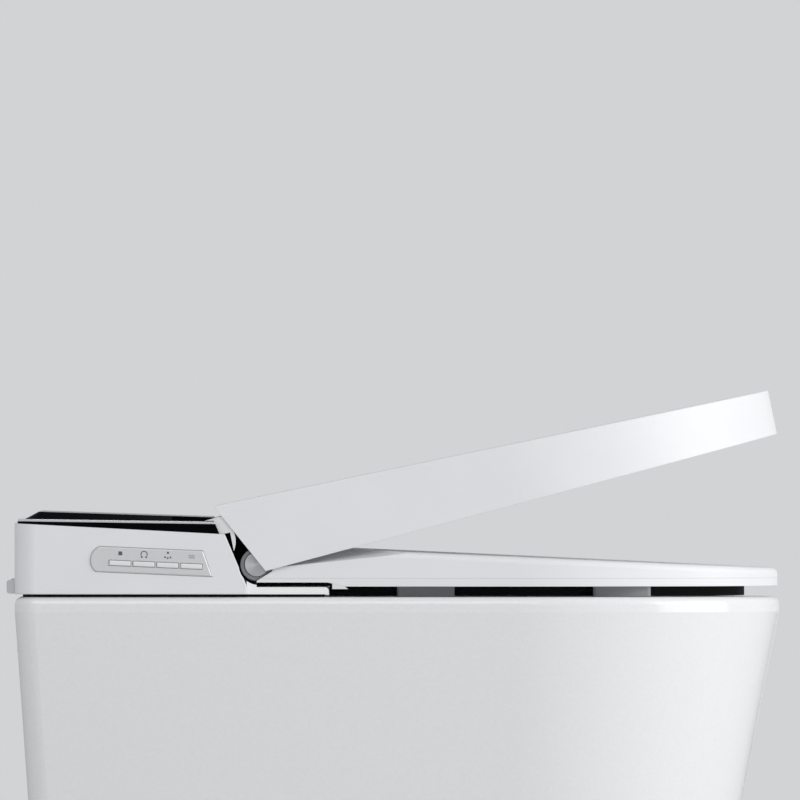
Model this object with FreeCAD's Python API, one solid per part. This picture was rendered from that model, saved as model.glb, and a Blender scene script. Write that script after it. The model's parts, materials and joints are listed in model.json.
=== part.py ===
import FreeCAD, Part
import math
import os
from collections import namedtuple

from FreeCAD import Vector

# Bidet toilet with a washing seat. Millimetres, +X to the front, +Y to the
# user's left, +Z up. The origin is the middle of the drain outlet, on the floor.

# Overall sizes
rough_in = 305.0
wall_gap = 20.0
body_length = 690.0
body_width = 380.0
rim_height = 398.0

# Fits
overrun = 3.0
fit_gap = 0.3
running_gap = 0.05
side_gap = 0.6
near_enough = 1e-4

# Vitreous china bowl
back_corner = 18.0
nose_curve = 235.0
rim_band = 14.0
rim_round = 7.0
china_wall = 11.0
waist_height = 214.0
waist_back_inset = 12.0
waist_nose_inset = 33.5
waist_side_inset = 24.0
foot_back_inset = 26.0
foot_nose_inset = 70.0
foot_side_inset = 52.0

# Basin inside the bowl
basin_back = 213.0
basin_nose_rim = 47.0
basin_side_rim = 50.0
basin_corner = 60.0
basin_curve = 190.0
basin_lip = 6.0
sump_x = 150.0
sump_length = 110.0
sump_width = 90.0
sump_corner = 30.0
sump_curve = 60.0
sump_height = 130.0
basin_fall_shares = (0.0, 0.28, 0.66, 1.0)
basin_draw_shares = (0.0, 0.12, 0.53, 1.0)

# Trapway and drain outlet
trap_radius = 27.0
trap_start_setback = 10.0
trap_start_rise = 18.0
trap_wall = 10.0
trap_dip_x = 90.0
trap_dip_height = 112.0
trap_weir_x = -60.0
trap_weir_height = 215.0
trap_drop_x = -85.0
trap_drop_height = 130.0
outlet_radius = 42.0
outlet_wall = 11.0
outlet_depth = 60.0

# Floor fixing
floor_bolt_spacing = 152.4
floor_bolt_radius = 6.0
floor_lug_length = 44.0
floor_lug_edge = 16.0
floor_lug_thickness = 18.0
drain_seal_width = 14.0
drain_seal_height = 26.0
plug_x = -150.0
plug_height = 45.0
plug_radius = 10.0
plug_stem_radius = 6.5
plug_proud = 2.0

# Deck openings for fixing and water
deck_bolt_x = -120.0
deck_bolt_duct_gap = 4.5
deck_bolt_radius = 4.0
deck_hole_radius = 7.0
deck_head_radius = 8.0
deck_head_height = 5.0
deck_nut_radius = 13.0
deck_nut_height = 12.0
deck_bolt_tail = 12.0
inlet_x = -244.0
inlet_y = 52.0
inlet_length = 36.0
inlet_width = 28.0
inlet_depth = 66.0
inlet_room = 8.0
inlet_thread_radius = 10.4
inlet_thread_length = 14.0
inlet_bore_radius = 6.0
inlet_collar_radius = 12.5
inlet_collar_length = 9.0
inlet_drop = 44.0
window_width = 84.0
window_height = 66.0

# Flush valve on the inlet block and tube to the basin
flush_length = 36.0
flush_width = 32.0
flush_height = 36.0
flush_drop = 52.0
flush_coil_radius = 11.0
flush_coil_height = 11.0
flush_radius = 9.0
flush_bore_radius = 7.0
flush_end_x = -63.0
flush_opening_x = -40.0

# Seal and chassis plate of the washing unit
gasket_thickness = 2.4
gasket_width = 14.0
gasket_inset = 4.0
base_thickness = 6.5
shelf_front_x = -2.2
shelf_round = 3.6
shelf_width = 86.6
chassis_gap = 0.4
nozzle_bay_back_x = -108.0
nozzle_bay_half = 34.0

# White casing of the washing unit
case_wall = 3.0
case_edge_round = 1.0
case_back_rise = 66.4
case_front_rise = 56.7
case_front_x = -100.6
case_slope = 60.4
cheek_reach = 4.8
cheek_slope = 67.0
seam_x = -76.2
buffer_edge = 40.0
buffer_width = 32.0
buffer_length = 7.2
buffer_height = 12.2
buffer_round = 2.4
gland_y = -60.0
gland_rise = 28.0
gland_radius = 8.0
gland_hole_radius = 6.8
gland_neck_radius = 6.5
gland_bore_radius = 4.2
gland_proud = 0.6
gland_depth = 8.0

# Black lid of the casing: skirt, bright strip and bevelled panel
cover_inset = 0.8
cover_back_inset = 1.8
cover_wall = 3.0
cover_roof = 1.5
cover_front_x = -104.0
cover_back_depth = 1.8
cover_front_depth = 8.9
strip_thickness = 2.1
strip_width = 9.0
panel_back_depth = 9.3
panel_front_depth = 6.0
panel_bevel = 12.5
panel_back_inset = 8.4

# Black front of the casing
front_setback = 1.5
front_wall = 2.5
spray_door_height = 30.0
hood_top_x = -91.5
hood_top_rise = 65.5
hood_foot_x = -72.0
hood_foot_rise = 40.3
hood_notch_x = -83.6
hood_end_width = 16.5

# Seat
seat_axis_x = -67.2
seat_axis_rise = 29.2
cove_radius = 18.0
cove_reach = 1.9
cove_sink = 0.4
seat_front_x = 403.2
seat_clear = 9.4
seat_back_lift = 3.6
seat_ramp_start_x = -3.0
seat_ramp_end_x = 12.0
seat_crest_x = 21.0
seat_crest_rise = 42.8
seat_front_rise = 25.4
seat_wall = 3.0
seat_split_rise = 16.6
seat_round = 6.0
seat_back_x = -50.0
seat_opening_back_x = 20.0
seat_opening_front_x = 330.0
seat_opening_half = 110.0
seat_opening_corner = 95.0
seat_opening_curve = 165.0
shoulder_length = 147.0
shoulder_fall_share = 0.149
shoulder_lean_share = 0.358
heater_thickness = 0.8
heater_inset = 9.0
pad_length = 52.0
pad_width = 10.0
pad_round = 3.3
back_pad_x = 85.0
front_pad_x = 261.5
pad_skirt_gap = 1.0
skirt_inset = 30.0
skirt_wall = 4.0
skirt_gap = 0.8
skirt_back_x = -1.0
tongue_rise = 5.3
tongue_front_x = 17.5
leg_width = 2.1

# Seat hinge, outwards from the middle
barrel_length = 28.0
post_width = 12.0
ear_width = 18.6
ring_width = 7.8
hinge_edge = 5.6
post_radius = 12.5
barrel_radius = 14.0
barrel_wall = 2.0
ear_radius = 14.0
pin_radius = 6.0
pin_end = 3.0
ring_radius = 14.5
disc_radius = 11.0
disc_depth = 2.2
disc_proud = 0.8
ring_room = 0.6
collar_setback = 1.2
collar_depth = 4.5
ring_flat = 11.9
ring_flat_angle = 58.0

# Lid, written as it lies when shut
lid_axis_x = -126.3
lid_axis_rise = 57.0
lid_rest_angle = 14.94
lid_front_x = 408.0
lid_low_rise = 7.1
lid_front_rise = 47.4
lid_back_rise = 75.4
lid_back_top_x = -100.2
lid_back_low_x = -70.0
lid_wall = 2.8
lid_back_wall = 3.1
lid_round = 1.3
lid_nose_lean = 3.3
lid_back_skirt = 34.0
lid_back_lip = 6.0
liner_depth = 12.0
liner_thickness = 2.4
liner_back_x = -52.0
lid_pad_radius = 6.0
lid_pad_room = 0.6
lid_back_pad_x = 60.0
lid_back_pad_edge = 50.0
lid_front_pad_x = 300.0
lid_front_pad_edge = 80.0
shaft_radius = 5.0
shaft_end_edge = 6.0
arm_width = 17.4
arm_edge = 4.6
arm_half_height = 8.0
hook_width = 3.4
hook_lean = 4.5
hook_drop = 17.2
hook_bulge = 1.85
hub_radius = 9.5
slot_gap = 1.5
slot_back = 17.0
bush_radius = 6.5
bush_width = 12.0
bush_edge = 31.0
pillar_half = 11.0
pillar_over_axis = 3.0
lid_motor_bolt_gap = 12.5
lid_motor_pillar_gap = 3.0
lid_motor_half = 17.5
lid_motor_round = 1.5
lid_motor_over_axis = 6.6

# Control strip on the user's right cheek, in its own slanted frame
control_x = -162.3
control_rise = 32.1
control_tilt = 2.5
control_half_height = 11.4
control_top_back = 46.6
control_top_front = 46.4
control_low_back = 49.4
control_low_front = 55.7
control_bulge = 54.5
control_pocket = 1.4
control_proud = 1.2
control_bevel = 0.9
button_count = 4
button_pitch = 21.4
button_width = 19.4
button_height = 4.6
button_row_along = 4.4
button_row_up = -2.9
button_proud = 1.0
button_round = 1.2
button_gap = 0.35
button_flange = 0.6
button_flange_up = 1.5
button_flange_thickness = 1.2
button_stem_radius = 1.5
button_travel = 1.2
stem_length = 2.5
switch_size = 4.0
switch_height = 1.6
board_thickness = 1.6
board_half_height = 9.0
board_half_length = 49.0
boss_radius = 2.6
boss_along = 45.0

# Washing wands and their drive
wand_tilt = 15.0
wand_tip_x = -54.0
wand_tip_rise = 3.5
wand_y = 11.0
wand_radius = 6.5
wand_bore_radius = 4.0
wand_length = 185.0
tip_length = 22.0
tip_radius = 6.9
jet_radius = 1.0
jet_pitch = 4.0
rack_width = 4.0
rack_back_gap = 7.0
rack_front = 56.0
rack_base = 1.0
gear_module = 0.8
gear_teeth = 18
gear_backlash = 0.25
gear_width = 4.0
gear_bore_radius = 1.5
flank_steps = 4
gear_addendum_share = 0.9
gear_root_share = 1.25
pressure_angle = 20.0
drive_back = 64.0
motor_radius = 12.0
motor_length = 18.0
motor_gap = 5.0
cradle_back_gap = 7.0
cradle_front = 60.0
cradle_wall = 3.0
cradle_foot = 9.0
cradle_sink = 1.0
cradle_mouth = 9.8
cradle_side_share = 0.5
motor_bracket_wall = 2.0

# Warm air dryer
blower_x = -196.0
blower_edge = 22.6
blower_radius = 36.0
blower_height = 34.0
blower_wall = 2.0
fan_radius = 28.0
fan_hub_radius = 9.0
fan_height = 24.0
fan_blades = 14
fan_blade_thickness = 1.4
fan_plate = 2.0
fan_axle_radius = 2.0
fan_motor_radius = 13.0
fan_motor_height = 14.0
duct_width = 34.0
duct_blower_gap = 4.0
duct_height = 20.0
duct_wall = 1.6
duct_front_x = -92.0
flap_thickness = 1.6
flap_pin_radius = 1.4
flap_setback = 2.0

# Water path and electrics on the chassis
valve_length = 40.0
valve_width = 30.0
valve_height = 26.0
coil_radius = 11.0
coil_height = 16.0
tank_x = -186.0
tank_edge = 26.6
tank_length = 70.0
tank_width = 84.0
tank_height = 40.0
tank_round = 8.0
tube_radius = 4.0
tube_bore_radius = 2.5
tube_bend = 12.0
pump_x = -250.0
pump_edge = 5.6
pump_radius = 17.0
pump_length = 58.0
pump_foot = 4.0
main_board_x = -258.0
main_board_edge = 16.6
main_board_length = 34.0
main_board_width = 150.0
standoff_height = 8.0
standoff_radius = 3.0
chip_height = 9.0
chip_share = 0.22
chip_place_shares = (-0.34, 0.0, 0.33)
screw_radius = 2.0
screw_head_radius = 3.6
screw_head_height = 2.4
chassis_screw_x_shares = (0.12, 0.86)
chassis_screw_edge = 8.0
case_boss_radius = 5.0
case_boss_height = 14.0
case_rib = 3.0

# Worked out from the sizes above
back_x = wall_gap - rough_in
nose_x = back_x + body_length
half_width = body_width / 2
base_bottom = rim_height + gasket_thickness
base_top = base_bottom + base_thickness
case_inner_half = half_width - case_wall
chassis_half = case_inner_half - chassis_gap
chassis_back_x = back_x + case_wall + chassis_gap
shelf_inner_y = chassis_half - shelf_width
case_back_height = rim_height + case_back_rise
case_front_height = rim_height + case_front_rise
strip_back_height = case_back_height + cover_back_depth
strip_front_height = case_front_height + cover_front_depth
panel_back_height = strip_back_height + panel_back_depth
panel_front_height = strip_front_height + panel_front_depth
gland_height = rim_height + gland_rise
control_height = rim_height + control_rise
buffer_y = half_width - buffer_edge
hood_top = rim_height + hood_top_rise
hood_foot = rim_height + hood_foot_rise
seat_axis_height = rim_height + seat_axis_rise
seat_crest_height = rim_height + seat_crest_rise
seat_front_height = rim_height + seat_front_rise
seat_split_height = rim_height + seat_split_rise
ring_outer_y = half_width - hinge_edge
ear_outer_y = ring_outer_y - ring_width
post_outer_y = ear_outer_y - ear_width
post_inner_y = post_outer_y - post_width
barrel_inner_y = post_inner_y - barrel_length
lid_axis_height = rim_height + lid_axis_rise
lid_low_height = rim_height + lid_low_rise
lid_front_height = rim_height + lid_front_rise
lid_back_height = rim_height + lid_back_rise
lid_back_pad_y = half_width - lid_back_pad_edge
lid_front_pad_y = half_width - lid_front_pad_edge
shaft_end_y = half_width - shaft_end_edge
arm_outer_y = half_width - arm_edge
arm_inner_y = arm_outer_y - arm_width
hood_half = arm_inner_y - slot_gap
bush_outer_y = half_width - bush_edge
bush_inner_y = bush_outer_y - bush_width
blower_y = blower_edge + blower_radius - chassis_half
duct_outer_y = -blower_y - duct_blower_gap
duct_inner_y = duct_outer_y - duct_width
deck_bolt_y = duct_inner_y - deck_bolt_duct_gap - deck_head_radius
lid_motor_inner_y = deck_bolt_y + deck_head_radius + lid_motor_bolt_gap
lid_motor_outer_y = bush_inner_y - lid_motor_pillar_gap
wand_tip_height = rim_height + wand_tip_rise
rack_back = wand_length - rack_back_gap
cradle_back = wand_length - cradle_back_gap
tank_y = chassis_half - tank_edge - tank_width / 2
pump_y = chassis_half - pump_edge - pump_length / 2
main_board_y = main_board_edge + main_board_width / 2 - chassis_half
seat_half = half_width - lid_wall - 2 * side_gap
seat_bottom = rim_height + seat_clear
seat_back_bottom = seat_bottom + seat_back_lift
seat_fall_share = (seat_crest_height - seat_front_height) / (seat_front_x - seat_crest_x)
lid_fall_share = (lid_back_height - lid_front_height) / (lid_front_x - lid_back_top_x)
shoulder_x = seat_axis_x + shoulder_length
gear_pitch_radius = gear_module * gear_teeth / 2
tooth_pitch = math.pi * gear_module

X_AXIS = Vector(1, 0, 0)
Y_AXIS = Vector(0, 1, 0)
Z_AXIS = Vector(0, 0, 1)
ORIGIN = Vector(0, 0, 0)

Plan = namedtuple("Plan", "back nose half corner curve")


# Helpers

def box(x0, x1, y0, y1, z0, z1):
    return Part.makeBox(x1 - x0, y1 - y0, z1 - z0, Vector(x0, y0, z0))


def rod_y(x, z, radius, y0, y1):
    return Part.makeCylinder(radius, y1 - y0, Vector(x, y0, z), Y_AXIS)


def rod_z(x, y, radius, z0, z1):
    return Part.makeCylinder(radius, z1 - z0, Vector(x, y, z0), Z_AXIS)


def rod_x(y, z, radius, x0, x1):
    return Part.makeCylinder(radius, x1 - x0, Vector(x0, y, z), X_AXIS)


def side_prism(points, y0, y1):
    """A slab whose outline is drawn in the side view as (x, z) points."""
    corners = [Vector(x, y0, z) for x, z in points]
    face = Part.Face(Part.makePolygon(corners + corners[:1]))
    return face.extrude(Vector(0, y1 - y0, 0))


def mirrored(shape):
    return shape.mirror(ORIGIN, Y_AXIS)


def both_sides(shape):
    return Part.makeCompound([shape, mirrored(shape)])


def tilted(shape, x, z, degrees):
    """The shape turned about a crosswise line, front end up for a positive angle."""
    turned = shape.copy()
    turned.rotate(Vector(x, 0, z), Y_AXIS.negative(), degrees)
    return turned


def line(a, b):
    return Part.LineSegment(a, b).toShape()


def quarter_ellipse(start, corner, end):
    curve = Part.BezierCurve()
    curve.setPoles([start, corner, end])
    curve.setWeight(2, math.sqrt(0.5))
    return curve.toShape()


def plan_wire(plan, height):
    """Outline seen from above: flat back, rounded corners, elliptic nose."""
    def at(x, y):
        return Vector(x, y, height)

    inner = plan.half - plan.corner
    cut = plan.corner * (1 - math.sqrt(0.5))
    side_start = plan.back + plan.corner
    side_end = plan.nose - plan.curve
    return Part.Wire([
        line(at(plan.back, inner), at(plan.back, -inner)),
        Part.Arc(at(plan.back, -inner), at(plan.back + cut, cut - plan.half),
                 at(side_start, -plan.half)).toShape(),
        line(at(side_start, -plan.half), at(side_end, -plan.half)),
        quarter_ellipse(at(side_end, -plan.half), at(plan.nose, -plan.half), at(plan.nose, 0)),
        quarter_ellipse(at(plan.nose, 0), at(plan.nose, plan.half), at(side_end, plan.half)),
        line(at(side_end, plan.half), at(side_start, plan.half)),
        Part.Arc(at(side_start, plan.half), at(plan.back + cut, plan.half - cut),
                 at(plan.back, inner)).toShape(),
    ])


def inset(plan, amount):
    return Plan(plan.back + amount, plan.nose - amount, plan.half - amount,
                max(plan.corner - amount, fit_gap), plan.curve - amount)


def plan_half_at(plan, x):
    """Half the width of an outline at a place along its side or its nose."""
    along = max(x - (plan.nose - plan.curve), 0) / plan.curve
    return plan.half * math.sqrt(1 - along ** 2)


def plan_prism(plan, z0, z1):
    return Part.Face(plan_wire(plan, z0)).extrude(Vector(0, 0, z1 - z0))


def edges_at_height(shape, height):
    return [edge for edge in shape.Edges
            if all(abs(vertex.Z - height) < near_enough for vertex in edge.Vertexes)]


def upright_edges(shape):
    return [edge for edge in shape.Edges if edge.BoundBox.ZLength > near_enough]


def bent_tube(points, radius):
    """A round tube's outer form through (x, z) points, with ball corners."""
    places = [Vector(x, 0, z) for x, z in points]
    legs = [Part.makeCylinder(radius, (b - a).Length, a, b - a) for a, b in zip(places, places[1:])]
    balls = [Part.makeSphere(radius, place) for place in places[1:-1]]
    return legs[0].fuse(legs[1:] + balls)


# China bowl and what fixes it to the floor

def china_plan(back_inset, nose_inset, side_inset):
    return Plan(back_x + back_inset, nose_x - nose_inset, half_width - side_inset,
                back_corner, nose_curve - nose_inset)


def china_skin(amount):
    """The tapered outside of the bowl, drawn in by a wall."""
    foot = inset(china_plan(foot_back_inset, foot_nose_inset, foot_side_inset), amount)
    waist = inset(china_plan(waist_back_inset, waist_nose_inset, waist_side_inset), amount)
    shoulder = inset(china_plan(0, 0, 0), amount)
    wires = [plan_wire(foot, 0), plan_wire(waist, waist_height),
             plan_wire(shoulder, rim_height - rim_band)]
    return Part.makeLoft(wires, True, False)


def china_outside():
    band = plan_prism(china_plan(0, 0, 0), rim_height - rim_band, rim_height)
    band = band.makeFillet(rim_round, edges_at_height(band, rim_height))
    return china_skin(0).fuse(band)


def basin(wall):
    """The basin's form, grown outwards by the wall of the china."""
    rim = Plan(back_x + basin_back - wall, nose_x - basin_nose_rim + wall,
               half_width - basin_side_rim + wall, basin_corner + wall, basin_curve + wall)
    half_length = sump_length / 2 + wall
    sump = Plan(sump_x - half_length, sump_x + half_length, sump_width / 2 + wall,
                sump_corner + wall, sump_curve + wall)
    depth = rim_height - sump_height + wall
    wires = []
    for fall_share, draw_share in zip(basin_fall_shares, basin_draw_shares):
        level = Plan(*[a + (b - a) * draw_share for a, b in zip(rim, sump)])
        wires.append(plan_wire(level, rim_height - depth * fall_share))
    return Part.makeLoft(wires, True, False)


def basin_edge():
    """The eased edge where the rim turns down into the basin."""
    rim = Plan(back_x + basin_back, nose_x - basin_nose_rim, half_width - basin_side_rim,
               basin_corner, basin_curve)
    wires = [plan_wire(rim, rim_height - basin_lip), plan_wire(inset(rim, -basin_lip), rim_height)]
    return Part.makeLoft(wires, True, True)


def trap_points():
    return [(sump_x - trap_start_setback, sump_height + trap_start_rise),
            (trap_dip_x, trap_dip_height), (trap_weir_x, trap_weir_height),
            (trap_drop_x, trap_drop_height), (0, outlet_depth + trap_wall)]


def inlet_opening(room):
    return box(inlet_x - inlet_length / 2 - room, inlet_x + inlet_length / 2 + room,
               inlet_y - inlet_width / 2 - room, inlet_y + inlet_width / 2 + room,
               rim_height - rim_band - overrun, rim_height + overrun)


def inlet_axis_height():
    return base_bottom - inlet_drop


def flush_axis_height():
    return base_bottom - flush_drop


def bowl_body():
    outside = china_outside()
    shell = outside.cut(china_skin(china_wall))
    trap = bent_tube(trap_points(), trap_radius + trap_wall)
    horn = rod_z(0, 0, outlet_radius + outlet_wall, 0, outlet_depth + outlet_wall)
    bolt_y = floor_bolt_spacing / 2
    lug_half = floor_lug_length / 2
    lugs = box(-lug_half, lug_half, -bolt_y - floor_lug_edge, bolt_y + floor_lug_edge,
               0, floor_lug_thickness)
    china = shell.fuse([basin(china_wall), trap, horn, lugs])
    hollows = [basin(0), basin_edge(), bent_tube(trap_points(), trap_radius),
               rod_z(0, 0, outlet_radius, -overrun, outlet_depth)]
    for side in (-1, 1):
        hollows.append(rod_z(0, side * bolt_y, floor_bolt_radius, -overrun,
                             floor_lug_thickness + overrun))
        hollows.append(rod_z(deck_bolt_x, side * deck_bolt_y, deck_hole_radius,
                             rim_height - rim_band - overrun, rim_height + overrun))
        hollows.append(plug_hole(side))
    hollows.append(inlet_opening(inlet_room))
    hollows.append(rod_x(inlet_y, flush_axis_height(), flush_radius + fit_gap,
                         flush_end_x - basin_corner, flush_opening_x))
    middle = inlet_axis_height()
    hollows.append(box(back_x - overrun, back_x + waist_back_inset + china_wall + overrun,
                       inlet_y - window_width / 2, inlet_y + window_width / 2,
                       middle - window_height / 2, rim_height - rim_band - overrun))
    return china.cut(hollows).removeSplitter()


def plug_hole(side):
    reach = side * half_width
    return rod_y(plug_x, plug_height, plug_stem_radius + fit_gap,
                 min(reach, reach / 2), max(reach, reach / 2))


def side_plugs():
    """Caps over the side screws, shaped to the tapered china."""
    skin = china_skin(0)
    inner = china_skin(china_wall)
    proud = skin.copy()
    proud.translate(Vector(0, -plug_proud, 0))
    head = rod_y(plug_x, plug_height, plug_radius, -half_width, 0).common(proud).cut(skin)
    stem = rod_y(plug_x, plug_height, plug_stem_radius, -half_width, 0).common(skin).cut(inner)
    return both_sides(head.fuse(stem))


def drain_seal():
    inner = outlet_radius + outlet_wall + fit_gap
    ring = rod_z(0, 0, inner + drain_seal_width, 0, drain_seal_height)
    ring = ring.cut(rod_z(0, 0, inner, -overrun, drain_seal_height + overrun))
    lug = floor_lug_length / 2 + fit_gap
    reach = inner + drain_seal_width + overrun
    return ring.cut(box(-lug, lug, -reach, reach, -overrun, floor_lug_thickness + fit_gap))


# Chassis plate, its seal and its fixing

def deck_gasket():
    plan = Plan(chassis_back_x + gasket_inset, nose_x, chassis_half - gasket_inset,
                back_corner, nose_curve)
    front = shelf_front_x - gasket_inset
    ring = plan_prism(plan, rim_height, base_bottom)
    ring = ring.common(box(plan.back, front, -half_width, half_width, rim_height, base_bottom))
    hollow = plan_prism(inset(plan, gasket_width), rim_height - overrun, base_bottom + overrun)
    return ring.cut(hollow)


def chassis_slab():
    plan = Plan(chassis_back_x, nose_x, chassis_half, back_corner, nose_curve)
    slab = plan_prism(plan, base_bottom, base_top)
    slab = slab.common(box(chassis_back_x, shelf_front_x, -half_width, half_width,
                           base_bottom, base_top))
    front_edges = [edge for edge in edges_at_height(slab, base_top)
                   if all(abs(v.X - shelf_front_x) < fit_gap for v in edge.Vertexes)]
    slab = slab.makeFillet(shelf_round, front_edges)
    notch = box(seam_x, shelf_front_x + overrun, -shelf_inner_y, shelf_inner_y,
                base_bottom - overrun, base_top + overrun)
    bay = box(nozzle_bay_back_x, shelf_front_x, -nozzle_bay_half, nozzle_bay_half,
              base_bottom - overrun, base_top + overrun)
    return slab.cut([notch, bay])


def hinge_post():
    """The upright of the chassis that holds the seat's hinge pin, user's right side."""
    foot = box(seat_axis_x - post_radius, seat_axis_x + post_radius, -post_outer_y, -post_inner_y,
               base_top, seat_axis_height)
    head = rod_y(seat_axis_x, seat_axis_height, post_radius, -post_outer_y, -post_inner_y)
    return foot.fuse(head)


def shaft_pillar():
    return box(lid_axis_x - pillar_half, lid_axis_x + pillar_half, -bush_outer_y, -bush_inner_y,
               base_top, lid_axis_height + pillar_over_axis)


def hinge_cove(amount, near, far):
    """The round hollow of the casing about the seat's hinge, grown by an amount."""
    return rod_y(seat_axis_x + cove_reach, seat_axis_height - cove_sink, cove_radius + amount, near, far)


def cove_block():
    """The hollow corner that rises from the shelf to the casing behind the hinge."""
    block = box(seam_x, seat_axis_x, -chassis_half, -post_outer_y - fit_gap,
                base_top, seat_axis_height - cove_radius / 2)
    return block.cut(hinge_cove(0, -half_width, 0))


def board_standoffs():
    reach_x = main_board_length / 2 - standoff_radius
    reach_y = main_board_width / 2 - standoff_radius
    return [rod_z(main_board_x + i * reach_x, main_board_y + j * reach_y, standoff_radius,
                  base_top, base_top + standoff_height) for i in (-1, 1) for j in (-1, 1)]


def screw_places():
    span = seam_x - chassis_back_x
    return [(chassis_back_x + share * span, side * (chassis_half - chassis_screw_edge))
            for share in chassis_screw_x_shares for side in (-1, 1)]


def base_plate():
    uprights = [hinge_post(), shaft_pillar(), cove_block()]
    uprights += [mirrored(shape) for shape in uprights]
    plate = chassis_slab().fuse(uprights + board_standoffs())
    holes = []
    for side in (-1, 1):
        near, far = sorted((side * bush_inner_y, side * bush_outer_y))
        holes.append(rod_y(lid_axis_x, lid_axis_height, bush_radius + running_gap,
                           near - overrun, far + overrun))
        near, far = sorted((side * post_inner_y, side * post_outer_y))
        holes.append(rod_y(seat_axis_x, seat_axis_height, pin_radius + running_gap,
                           near - overrun, far + overrun))
        holes.append(rod_z(deck_bolt_x, side * deck_bolt_y, deck_bolt_radius + fit_gap,
                           base_bottom - overrun, base_top + overrun))
    for x, y in screw_places():
        holes.append(rod_z(x, y, screw_radius + fit_gap, base_bottom - overrun, base_top + overrun))
        holes.append(rod_z(x, y, screw_head_radius + fit_gap, base_bottom - overrun,
                           base_bottom + screw_head_height))
    return plate.cut(holes)


def deck_bolts():
    y = -deck_bolt_y
    end = rim_height - rim_band - deck_nut_height - deck_bolt_tail
    shank = rod_z(deck_bolt_x, y, deck_bolt_radius, end, base_top)
    head = rod_z(deck_bolt_x, y, deck_head_radius, base_top, base_top + deck_head_height)
    return both_sides(shank.fuse(head))


def deck_nuts():
    y = -deck_bolt_y
    top = rim_height - rim_band
    nut = rod_z(deck_bolt_x, y, deck_nut_radius, top - deck_nut_height, top)
    return both_sides(nut.cut(rod_z(deck_bolt_x, y, deck_bolt_radius + running_gap,
                                    top - deck_nut_height - overrun, top + overrun)))


def chassis_screws():
    """Screws from under the chassis plate up into the bosses of the casing."""
    screws = []
    for x, y in screw_places():
        shank = rod_z(x, y, screw_radius, base_bottom, base_top + case_boss_height - side_gap)
        head = rod_z(x, y, screw_head_radius, base_bottom, base_bottom + screw_head_height)
        screws.append(shank.fuse(head))
    return Part.makeCompound(screws)


# White casing and its black covers

def case_line_height(x):
    share = (x - back_x) / (case_front_x - back_x)
    return case_back_height + (case_front_height - case_back_height) * share


def strip_height(x):
    share = (x - back_x) / (cover_front_x - back_x)
    return strip_back_height + (strip_front_height - strip_back_height) * share


def panel_height(x):
    share = (x - back_x) / (cover_front_x - back_x)
    return panel_back_height + (panel_front_height - panel_back_height) * share


def slope_x(height, setback):
    """Where the casing's sloping front line, moved back by the setback, is at a height."""
    return case_front_x - setback - (height - case_front_height) / math.tan(math.radians(case_slope))


def cover_x(height, setback):
    """Where the front of the casing's lid, moved back by the setback, is at a height."""
    return case_front_x - setback - (height - case_front_height) / math.tan(math.radians(cheek_slope))


def case_profile(front, seam, slope, foot, crown):
    """Side outline of the casing: its top front corner, its seam and the slope between them."""
    slope_foot = case_line_height(front) - (seam - front) * math.tan(math.radians(slope))
    return [(back_x - overrun, foot), (back_x - overrun, case_line_height(back_x) + crown),
            (front, case_line_height(front) + crown), (seam, slope_foot), (seam, foot)]


def case_block(profile, cove_growth, half):
    """A side outline drawn across the casing, hollowed round the hinge."""
    return side_prism(profile, -half, half).cut(hinge_cove(cove_growth, -half, half))


def casing_plan(amount):
    return inset(Plan(back_x, nose_x, half_width, back_corner, nose_curve), amount)


def cover_plan(amount):
    """Plan of the casing's lid, its back edge set in more than its sides."""
    plan = casing_plan(amount)
    return plan._replace(back=plan.back + cover_back_inset)


def case_boss(x, y):
    """A screw boss on the chassis plate, joined to the casing's side by a rib."""
    high = base_top + case_boss_height
    near, far = sorted((y, math.copysign(case_inner_half + fit_gap, y)))
    post = rod_z(x, y, case_boss_radius, base_top, high)
    rib = box(x - case_rib / 2, x + case_rib / 2, near, far, base_top, high)
    return post.fuse(rib).cut(rod_z(x, y, screw_radius + running_gap, base_top - overrun, high + overrun))


def case_edges(block):
    """The outer edges of the casing's front ends and those round its foot."""
    def on_side(vertex):
        return abs(abs(vertex.Y) - half_width) < near_enough

    front = [edge for edge in block.Edges if all(on_side(v) for v in edge.Vertexes)
             and edge.CenterOfMass.x > case_front_x]
    return front + edges_at_height(block, base_bottom)


def housing_shell():
    profile = case_profile(case_front_x + cheek_reach, seam_x, cheek_slope, base_bottom, 0)
    block = case_block(profile, 0, half_width)
    shell = block.common(plan_prism(casing_plan(0), base_bottom, panel_back_height))
    shell = shell.makeFillet(case_edge_round, case_edges(shell))
    shell = shell.cut(plan_prism(casing_plan(case_wall), base_bottom - overrun,
                                 panel_back_height + overrun))
    bosses = [control_place(rod_y(side * boss_along, 0, boss_radius,
                                  -case_inner_half, board_face()))
              for side in (-1, 1)]
    pocket = control_place(control_form(fit_gap, -half_width - overrun,
                                        -half_width + control_pocket))
    window = control_place(button_window())
    gland = rod_x(gland_y, gland_height, gland_hole_radius, back_x - overrun,
                  back_x + case_wall + overrun)
    bosses += [case_boss(x, y) for x, y in screw_places()]
    return shell.fuse(bosses).cut([pocket, window, gland])


def arm_slots(z0, z1):
    near = arm_inner_y - slot_gap
    far = arm_outer_y + slot_gap
    slot = box(lid_axis_x - slot_back, nose_x, near, far, z0, z1)
    return [slot, mirrored(slot)]


def layer(plan_amount, low, high, setback):
    """A layer of the casing's lid between two height lines, its front in the cheeks' slope."""
    crown_x = cover_x(high(case_front_x), setback)
    foot_x = cover_x(low(case_front_x), setback)
    outline = [(back_x, low(back_x)), (back_x, high(back_x)), (crown_x, high(crown_x)),
               (foot_x, low(foot_x))]
    slab = side_prism(outline, -half_width, half_width)
    return slab.common(plan_prism(cover_plan(plan_amount), case_front_height - case_wall,
                                  panel_back_height + overrun))


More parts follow.
